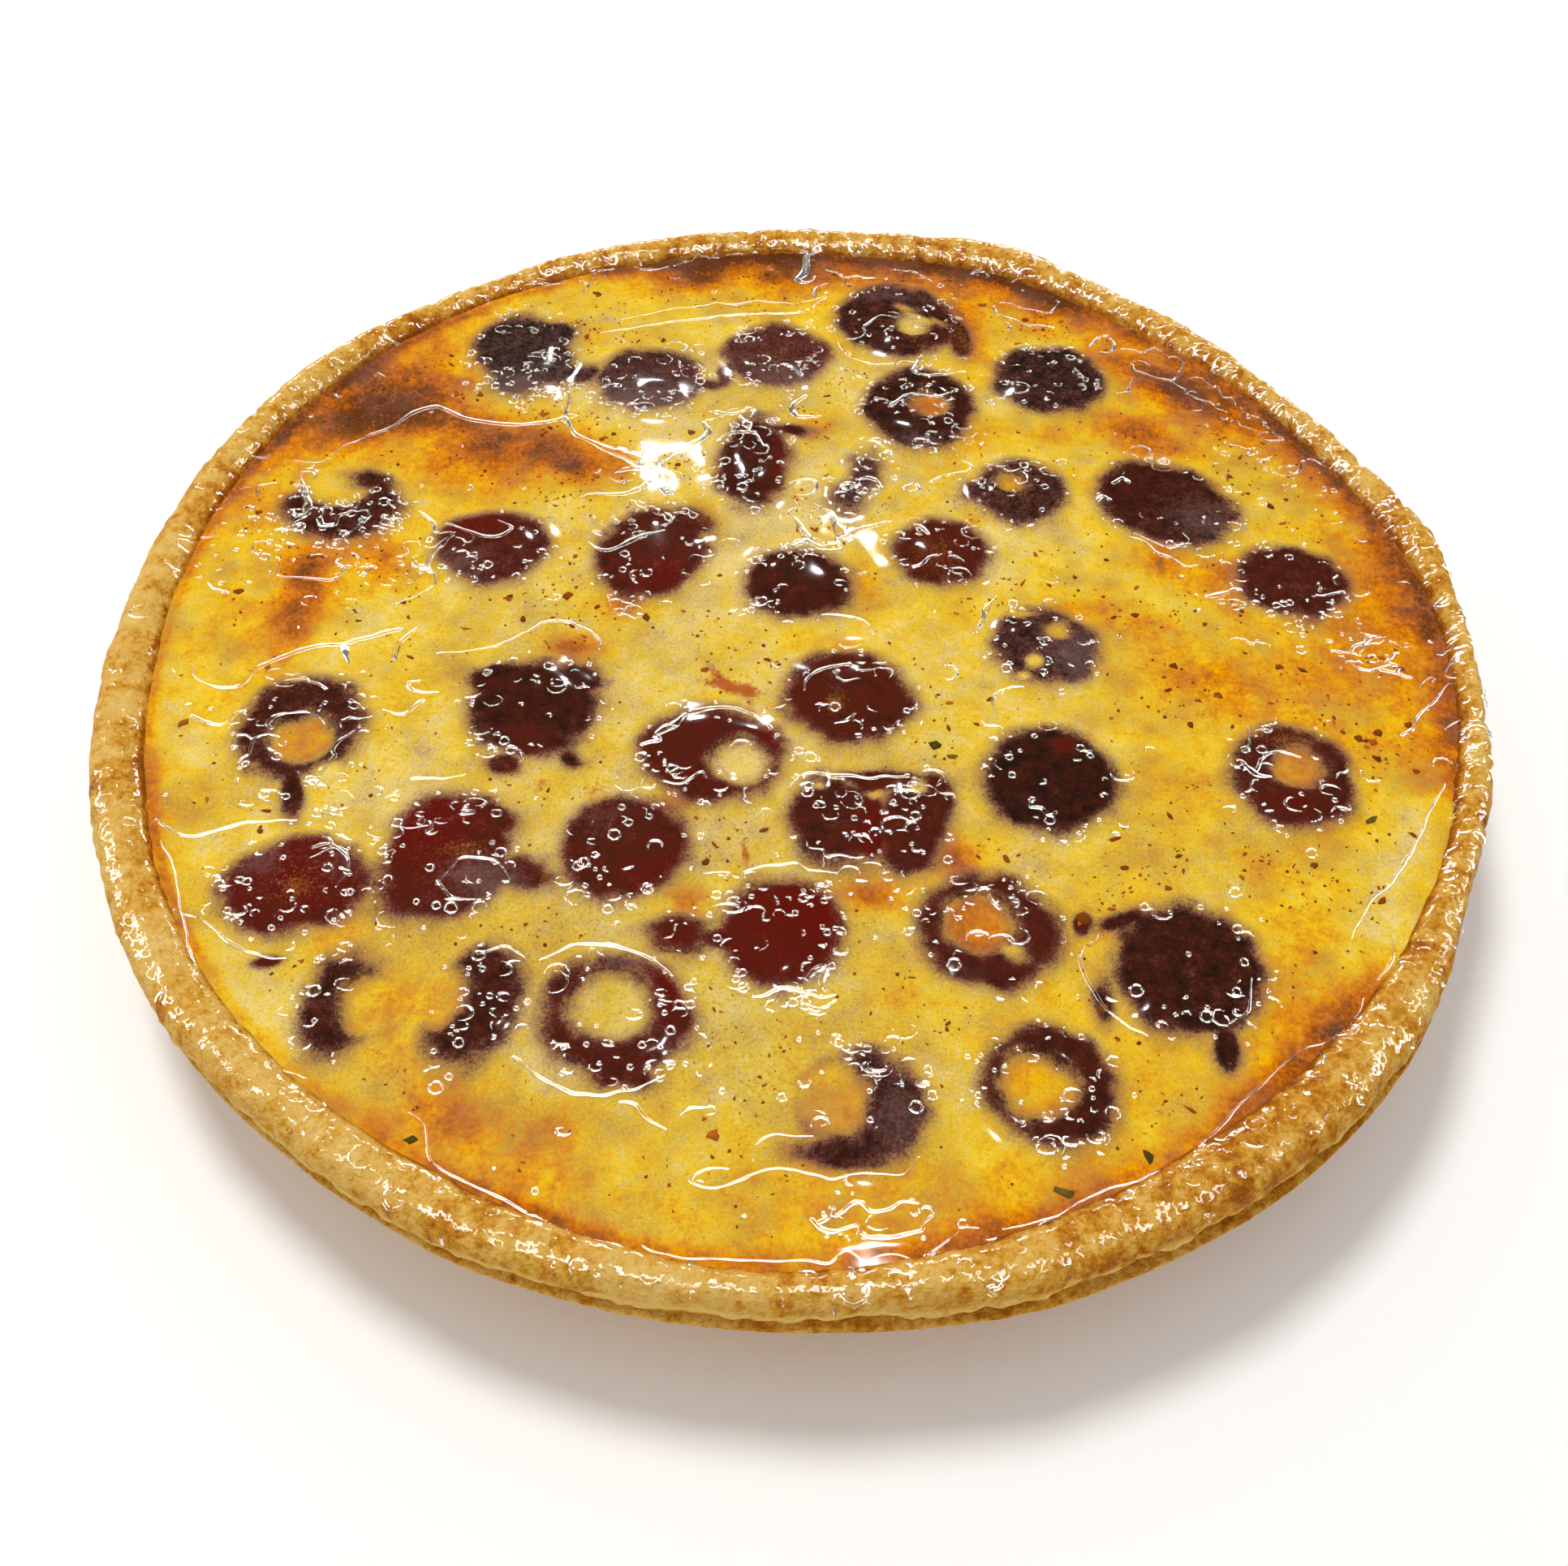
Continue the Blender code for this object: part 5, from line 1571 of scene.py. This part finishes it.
def sweep(paths, half_widths, heights, level_at):
    """Closed beads along paths: across each place of a path, one wave of a cosine from the left
    side over the top to the right side, and a flat foot under the glaze. paths are (x, y) by bead
    and place, half widths and heights are by bead and place too, and level_at gives the height of
    what the beads lie on."""
    count, steps = paths.shape[:2]
    along = np.gradient(paths, axis=1)
    along /= np.linalg.norm(along, axis=2, keepdims=True)
    left = np.stack([-along[..., 1], along[..., 0]], axis=-1)
    share = np.linspace(1, -1, BEAD_SIDES)
    across = np.concatenate([share, [-0.7, 0.7]])
    rise = np.concatenate([0.5 + 0.5 * np.cos(math.pi * share), [-0.8, -0.8]])
    flat = paths[:, :, None] + left[:, :, None] * (across[:, None] * half_widths[..., None, None])
    level = heights[..., None] * rise + level_at(flat[..., 0], flat[..., 1]) - 0.01
    rings = np.concatenate([flat, level[..., None]], axis=-1)
    ends = rings[:, [0, -1]].mean(axis=2)
    points = np.concatenate([rings.reshape(count, -1, 3), ends], axis=1)
    return joined(points, *skin_faces(steps, len(across)))


def glaze_level(x, y):
    settings = bpy.context.scene.flan_glaze
    return glaze_top(x, y, settings.waves / MM, settings.film / MM)


def rim_level(x, y):
    """The height of the rim's roll: half an ellipse across it, plus the roll's relief."""
    angle = np.arctan2(y, x)
    inner, outer = by_direction(INNER, angle), by_direction(OUTER, angle)
    across = np.clip(2 * (np.hypot(x, y) - inner) / (outer - inner) - 1, -1, 1)
    up = np.sqrt(1 - across**2)
    height = by_direction(CREST, angle) - BEAD_HALF_HEIGHT * (1 - up)
    relief = FLAN_OT_crust.relief(bpy.context.scene.flan_crust, angle, x, y, height)
    return height + relief * up


def on_glaze(view, places):
    """Where places in an enlarged part of the photograph are on the tart: where the camera's line
    through each meets the level of the folds."""
    right, up, forward = camera_axes()
    reach = forward * CAMERA_LENS / CAMERA_SENSOR * PHOTO_WIDTH
    start = CAMERA_PLACE / MM
    found = []
    for x, y in places:
        past = view.left + x / view.scale - PHOTO_WIDTH / 2
        below = view.top + y / view.scale - PHOTO_HEIGHT / 2
        ray = reach + right * past - up * below
        found.append(start + ray * (FOLD_LEVEL - start.z) / ray.z)
    return [(place.x, place.y) for place in found]


def smooth_path(places, steps):
    """Evenly counted places on the curve through the given ones: a Catmull-Rom spline."""
    places = np.array(places, float)
    ends = (2 * places[0] - places[1], 2 * places[-1] - places[-2])
    places = np.concatenate([[ends[0]], places, [ends[1]]])
    spot = np.linspace(0, len(places) - 3 - 1e-6, steps)
    cell = spot.astype(int)
    t = (spot - cell)[:, None]
    p0, p1, p2, p3 = (places[cell + k] for k in range(4))
    bend = (2 * p0 - 5 * p1 + 4 * p2 - p3) * t**2 + (3 * p1 - p0 - 3 * p2 + p3) * t**3
    return 0.5 * (2 * p1 + (p2 - p0) * t + bend)


class FLAN_OT_folds(bpy.types.Operator):
    """Lays the folds of the glaze: beads of it along the places where it set in lines, and small
    hooks at places drawn where the glaze is lively"""

    bl_idname = "flan.folds"
    bl_label = "Folds in the glaze"

    def execute(self, context):
        settings = context.scene.flan_glaze
        finish = glaze_finish(settings, "clear_folds", 0.09)
        make_glaze("glaze_folds", *self.folds(), finish)
        rng = np.random.default_rng(HOOK_SEED)
        x, y = lively_places(rng, settings.hooks)
        make_glaze("glaze_hooks", *self.hooks(rng, x, y, glaze_level), finish)
        x, y = self.rim_places(rng, settings.drips)
        make_glaze("rim_hooks", *self.hooks(rng, x, y, rim_level), finish)
        return {"FINISHED"}

    @staticmethod
    def folds():
        """Beads along the folds' curves, which noise makes unsteady in place and width."""
        folds = list(FOLDS)
        for view, picked in PICKED_FOLDS:
            folds += [fold._replace(places=on_glaze(view, fold.places)) for fold in picked]
        share = np.linspace(0, 1, FOLD_STEPS)
        marks = [(fold.start, fold.middle, fold.end) for fold in folds]
        widths = np.stack([np.interp(share, (0, 0.5, 1), row) for row in marks])
        paths = np.stack([smooth_path(fold.places, FOLD_STEPS) for fold in folds])
        x, y = paths[..., 0], paths[..., 1]
        paths = paths + 0.3 * np.stack([noise(x, y, 0, 2.6, 71), noise(x, y, 0, 2.6, 72)], axis=-1)
        swell = 1 + 0.35 * noise(paths[..., 0], paths[..., 1], 0, 2.0, 73)
        widths = np.maximum(1.05 * widths * swell, 0.12)
        return sweep(paths, widths, 0.38 * widths, glaze_level)

    @staticmethod
    def rim_places(rng, count):
        """Random places on the rim's roll, more of them on its inner half and on the right."""
        turn = rng.uniform(0, 2 * math.pi, count * 3)
        kept = rng.uniform(0, 1, count * 3) < 0.45 + 0.35 * np.cos(turn - 0.4)
        turn = turn[kept][:count]
        inner, outer = by_direction(INNER, turn), by_direction(OUTER, turn)
        away = inner + (outer - inner) * rng.beta(1.6, 2.4, len(turn))
        return away * np.cos(turn), away * np.sin(turn)

    @staticmethod
    def hooks(rng, x, y, level_at):
        """Arcs of random radius, length and direction, some nearly closed rings."""
        radius = 0.4 + 1.3 * rng.uniform(0, 1, len(x)) ** 2
        start = rng.uniform(0, 2 * math.pi, len(x))
        length = rng.uniform(0.9, 5.0, len(x))
        share = np.linspace(0, 1, HOOK_STEPS)
        angle = start[:, None] + length[:, None] * share
        open_up = 1 + share * rng.uniform(-0.2, 0.8, (len(x), 1))
        squash = rng.uniform(0.5, 1.0, (len(x), 1))
        path_x = x[:, None] + radius[:, None] * open_up * np.cos(angle)
        path_y = y[:, None] + radius[:, None] * open_up * np.sin(angle) * squash
        widest = rng.uniform(0.12, 0.30, (len(x), 1))
        widths = np.maximum(widest * np.sin(math.pi * share) ** 0.6, 0.05)
        return sweep(np.stack([path_x, path_y], axis=-1), widths, 0.45 * widths, level_at)


def lively_places(rng, count):
    """Random places in the glaze, more of them where it is lively."""
    tries = count * 14
    x, y = random_places(rng, tries, 1.5)
    kept = rng.uniform(0, 1, tries) < liveliness(x, y) ** 1.5 + 0.015
    return x[kept][:count], y[kept][:count]


class FLAN_OT_bubbles(bpy.types.Operator):
    """Stands bubbles in the glaze: each is a thin round bead that closes on itself, at places drawn
    where the glaze is lively"""

    bl_idname = "flan.bubbles"
    bl_label = "Bubbles"

    def execute(self, context):
        settings = context.scene.flan_glaze
        rng = np.random.default_rng(BUBBLE_SEED)
        x, y = lively_places(rng, settings.bubbles)
        size = 0.26 + 0.70 * rng.uniform(0, 1, (len(x), 1)) ** 3
        angle = np.linspace(0, 2 * math.pi, BUBBLE_STEPS) + rng.uniform(0, 6.28, (len(x), 1))
        path_x = x[:, None] + size * np.cos(angle)
        path_y = y[:, None] + size * np.sin(angle)
        widths = np.broadcast_to(0.09 + 0.12 * size, angle.shape)
        beads = sweep(np.stack([path_x, path_y], axis=-1), widths, 0.5 * widths, glaze_level)
        make_glaze("glaze_bubbles", *beads, glaze_finish(settings, "clear_bubbles", 0.09))
        return {"FINISHED"}


# ------------------------------------------------------------------------------------------------
# The flecks
# ------------------------------------------------------------------------------------------------
FLECK_SIDES = 7
FLECK_FOOT = 0.3  # how far a fleck goes down into the custard
FLECK_SEED = 11
# The few green flecks have places of their own: x, y and size
GREEN_FLECKS = (
    (24.0, -23.5, 1.6),
    (29.5, -28.0, 1.2),
    (51.0, -95.5, 1.8),
    (93.0, -36.0, 1.5),
    (39.0, -101.0, 1.9),
    (-50.0, -97.0, 1.4),
    (26.5, -26.0, 1.2),
    (-74.0, -60.0, 0.9),
)


def fleck_finish(name, colour):
    finish = Finish(name)
    shade = finish.attribute("shade") + (finish.noise(0.8, 2, 0.6) - 0.5) * 0.5
    dark = tuple(0.60 * part for part in colour[:3]) + (1.0,)
    light = tuple(min(2.0 * part, 1.0) for part in colour[:3]) + (1.0,)
    mixed = finish.ramp(shade.clipped(), ((0.0, dark), (0.5, colour), (1.0, light)))
    return finish.principled({"Base Color": mixed, "Roughness": 0.9, "Specular IOR Level": 0.0})


def make_flecks(name, x, y, size, rng, finish):
    """Thin angular flakes on the custard: each has corners at uneven distances and directions
    round its middle, a flat top, and a foot below the custard's surface."""
    count = len(x)
    spread = np.sort(rng.uniform(0, 1, (count, FLECK_SIDES)), axis=1)
    even = np.arange(FLECK_SIDES) / FLECK_SIDES
    turn = 2 * math.pi * (0.45 * spread + 0.55 * even) + rng.uniform(0, 6.28, (count, 1))
    reach = size[:, None] * rng.uniform(0.45, 1.0, (count, FLECK_SIDES))
    stretch = rng.uniform(0.3, 0.95, (count, 1))
    lean = rng.uniform(0, math.pi, (count, 1))
    along, across = reach * np.cos(turn), reach * np.sin(turn) * stretch
    flat_x = along * np.cos(lean) - across * np.sin(lean) + x[:, None]
    flat_y = along * np.sin(lean) + across * np.cos(lean) + y[:, None]
    thick = (0.05 + 0.05 * rng.uniform(0, 1, count))[:, None]
    rim = np.stack([flat_x, flat_y, custard_top(flat_x, flat_y) + thick], axis=-1)
    down = np.array([0, 0, FLECK_FOOT])
    middle = np.stack([x, y, custard_top(x, y) + thick[:, 0] + 0.04], axis=-1)[:, None]
    points = np.concatenate([middle, rim, rim - down, middle - down], axis=1)
    first = np.arange(FLECK_SIDES) + 1
    quads = np.stack(
        [first, first + FLECK_SIDES, np.roll(first, -1) + FLECK_SIDES, np.roll(first, -1)], axis=-1
    )
    last = first[::-1] + FLECK_SIDES
    triangles = np.concatenate([fan_faces(first, 0), fan_faces(last, points.shape[1] - 1)])
    shade = {"shade": np.repeat(rng.uniform(0, 1, count), points.shape[1])}
    make_piece(name, *joined(points, quads, triangles), finish, "custard", values=shade)


class FLAN_OT_flecks(bpy.types.Operator):
    """Scatters brown and green flecks over the custard, clear of the fruit"""

    bl_idname = "flan.flecks"
    bl_label = "Flecks"

    def execute(self, context):
        settings = context.scene.flan_flecks
        rng = np.random.default_rng(FLECK_SEED)
        brown = fleck_finish("brown_fleck", tuple(settings.brown))
        green = fleck_finish("green_fleck", tuple(settings.green))
        x, y = self.places(rng, settings.small)
        size = rng.uniform(0.16, 0.5, len(x))
        make_flecks("flecks_small", x, y, size, rng, brown)
        x, y = self.places(rng, settings.large)
        size = 0.38 + 1.05 * rng.uniform(0, 1, len(x)) ** 2.8
        make_flecks("flecks_large", x, y, size, rng, brown)
        make_flecks("flecks_green", *np.array(GREEN_FLECKS).T, rng, green)
        return {"FINISHED"}

    @staticmethod
    def places(rng, count):
        """Random places in the custard that aren't on fruit, in clusters."""
        tries = count * 6
        x, y = random_places(rng, tries, 4.0)
        crowd = 0.2 + 0.8 * smooth_step(-0.1, 0.5, noise(x, y, 0, 11, 81))
        free = (nearest_fruit(x, y)[0] > 0.8) & (rng.uniform(0, 1, tries) < crowd)
        return x[free][:count], y[free][:count]


# ------------------------------------------------------------------------------------------------
# The stage
# ------------------------------------------------------------------------------------------------
CAMERA_PLACE = Vector((0.0, -0.19278, 0.23394))
CAMERA_DOWN, CAMERA_TURN, CAMERA_ROLL = 52.23, -0.339, 1.727  # degrees
CAMERA_LENS, CAMERA_SENSOR = 37.27, 36.0  # millimetres
FLOOR_HALF = 3.0  # metres
OVERHEAD_PLACE, OVERHEAD_WIDTH = Vector((-0.22, 0.24, 1.05)), 0.26  # metres
# Small lamps behind the tart, each by the place on the level glaze that mirrors it, in mm, with
# its width in metres and its brightness
Lamp = namedtuple("Lamp", "x y width strength")
LAMPS = (
    Lamp(-28.2, 40.0, 0.030, 1.0),
    Lamp(8.0, 25.4, 0.032, 1.0),
    Lamp(13.0, -106.0, 0.012, 1.0),
)
# Large soft boxes that the folds, hooks and bubbles of the glaze and the egg wash mirror: the place
# of the middle, the length and the width in metres, and the brightness. The level film is left out
# of their light, because it would mirror them as white sheets.
Strip = namedtuple("Strip", "x y z length width brightness")
STRIPS = (
    Strip(0.0, -0.42, 1.05, 1.6, 0.75, 46.0),
    Strip(0.0, 1.30, 0.20, 1.8, 0.32, 30.0),
    Strip(-1.15, 0.10, 0.55, 0.80, 0.9, 40.0),
    Strip(1.15, 0.10, 0.55, 0.80, 0.9, 30.0),
)
LAMP_DISTANCE = 1.3  # metres
LAMP_RADIANCE = 420.0


def camera_axes():
    """The camera's right, up and forward directions from its three angles."""
    down, turn, roll = (math.radians(v) for v in (CAMERA_DOWN, CAMERA_TURN, CAMERA_ROLL))
    level = math.cos(down)
    forward = Vector((math.sin(turn) * level, math.cos(turn) * level, -math.sin(down)))
    right = Vector((math.cos(turn), -math.sin(turn), 0.0))
    up = right.cross(forward)
    return (
        right * math.cos(roll) + up * math.sin(roll),
        up * math.cos(roll) - right * math.sin(roll),
        forward,
    )


def facing(place, target):
    """The placing matrix of a lamp at a place that shines on a target."""
    turned = (target - place).to_track_quat("-Z", "Y").to_matrix().to_4x4()
    return Matrix.Translation(place) @ turned


def area_lamp(name, place, target, width, watts):
    data = bpy.data.lights.new(name, "AREA")
    data.shape = "DISK"
    data.size = width
    data.energy = watts
    lamp = bpy.data.objects.new(name, data)
    lamp.matrix_world = facing(place, target)
    bpy.context.scene.collection.objects.link(lamp)
    return lamp


class FLAN_OT_stage(bpy.types.Operator):
    """Sets the plain pale floor, the soft light, the small lamps and soft boxes that the glaze
    mirrors, and the camera"""

    bl_idname = "flan.stage"
    bl_label = "Stage"

    def execute(self, context):
        settings = context.scene.flan_stage
        self.make_floor(settings)
        self.make_light(context.scene, settings)
        self.make_camera(context.scene)
        context.scene.view_settings.view_transform = "Standard"
        return {"FINISHED"}

    @staticmethod
    def make_floor(settings):
        corners = np.array([(-1, -1, 0), (1, -1, 0), (1, 1, 0), (-1, 1, 0)]) * FLOOR_HALF
        mesh = bpy.data.meshes.new("floor")
        mesh.from_pydata(corners.tolist(), [], [(0, 1, 2, 3)])
        finish = Finish("plain_floor")
        colour = tuple(settings.floor)
        sockets = {"Base Color": colour, "Roughness": 0.9, "Specular IOR Level": 0.1}
        mesh.materials.append(finish.principled(sockets))
        floor = bpy.data.objects.new("floor", mesh)
        bpy.context.scene.collection.objects.link(floor)

    @staticmethod
    def make_light(scene, settings):
        world = bpy.data.worlds.new("soft_surround")
        world.use_nodes = True
        background = world.node_tree.nodes["Background"]
        background.inputs["Strength"].default_value = settings.fill
        background.inputs["Color"].default_value = (1, 1, 1, 1)
        world.cycles_visibility.glossy = False
        scene.world = world
        key = area_lamp("overhead", OVERHEAD_PLACE, Vector(), OVERHEAD_WIDTH, settings.key)
        key.visible_glossy = False
        for number, lamp in enumerate(LAMPS):
            spot = Vector((lamp.x, lamp.y, CUSTARD_LEVEL + 1.0)) * MM
            seen = (spot - CAMERA_PLACE).normalized()
            mirrored = Vector((seen.x, seen.y, -seen.z))
            place = spot + mirrored * LAMP_DISTANCE
            area = math.pi * (lamp.width / 2) ** 2
            watts = LAMP_RADIANCE * lamp.strength * settings.sparkle * area * math.pi
            made = area_lamp(f"sparkle_{number}", place, spot, lamp.width, watts)
            made.visible_diffuse = False
        # The strips light all but the film
        spared = bpy.data.collections.new("spared_by_strips")
        spared.objects.link(bpy.data.objects["glaze_film"])
        spared.collection_objects[0].light_linking.link_state = "EXCLUDE"
        for number, strip in enumerate(STRIPS):
            place = Vector((strip.x, strip.y, strip.z))
            watts = strip.brightness * settings.sparkle * strip.length * strip.width * math.pi
            made = area_lamp(f"strip_{number}", place, Vector(), strip.length, watts)
            made.data.shape = "RECTANGLE"
            made.data.size_y = strip.width
            made.visible_diffuse = False
            made.light_linking.receiver_collection = spared

    @staticmethod
    def make_camera(scene):
        data = bpy.data.cameras.new("camera")
        data.lens = CAMERA_LENS
        data.sensor_width = CAMERA_SENSOR
        data.sensor_fit = "HORIZONTAL"
        data.clip_start = 0.01
        camera = bpy.data.objects.new("camera", data)
        right, up, forward = camera_axes()
        turned = Matrix((right, up, -forward)).transposed().to_4x4()
        camera.matrix_world = Matrix.Translation(CAMERA_PLACE) @ turned
        scene.collection.objects.link(camera)
        scene.camera = camera


# ------------------------------------------------------------------------------------------------
# The add-on
# ------------------------------------------------------------------------------------------------
OPERATORS = (
    FLAN_OT_crust,
    FLAN_OT_custard,
    FLAN_OT_cherries,
    FLAN_OT_flecks,
    FLAN_OT_glaze,
    FLAN_OT_folds,
    FLAN_OT_bubbles,
    FLAN_OT_stage,
)
SETTINGS = {
    "flan_crust": CrustSettings,
    "flan_custard": CustardSettings,
    "flan_cherries": CherrySettings,
    "flan_glaze": GlazeSettings,
    "flan_flecks": FleckSettings,
    "flan_stage": StageSettings,
}


class FLAN_PT_panel(bpy.types.Panel):
    """Lists the operators that make the tart"""

    bl_idname = "FLAN_PT_panel"
    bl_label = "Cherry flan tart"
    bl_space_type = "VIEW_3D"
    bl_region_type = "UI"
    bl_category = "Flan"

    def draw(self, context):
        for operator in OPERATORS:
            self.layout.operator(operator.bl_idname)


def register():
    for group in SETTINGS.values():
        bpy.utils.register_class(group)
    for cls in (*OPERATORS, FLAN_PT_panel):
        bpy.utils.register_class(cls)
    for name, group in SETTINGS.items():
        setattr(bpy.types.Scene, name, bpy.props.PointerProperty(type=group))


def unregister():
    for name in SETTINGS:
        delattr(bpy.types.Scene, name)
    for cls in (FLAN_PT_panel, *reversed(OPERATORS)):
        bpy.utils.unregister_class(cls)
    for group in reversed(list(SETTINGS.values())):
        bpy.utils.unregister_class(group)


def main():
    register()
    for operator in OPERATORS:
        space, name = operator.bl_idname.split(".")
        getattr(getattr(bpy.ops, space), name)()
    bpy.context.view_layer.update()


if __name__ == "__main__":
    main()
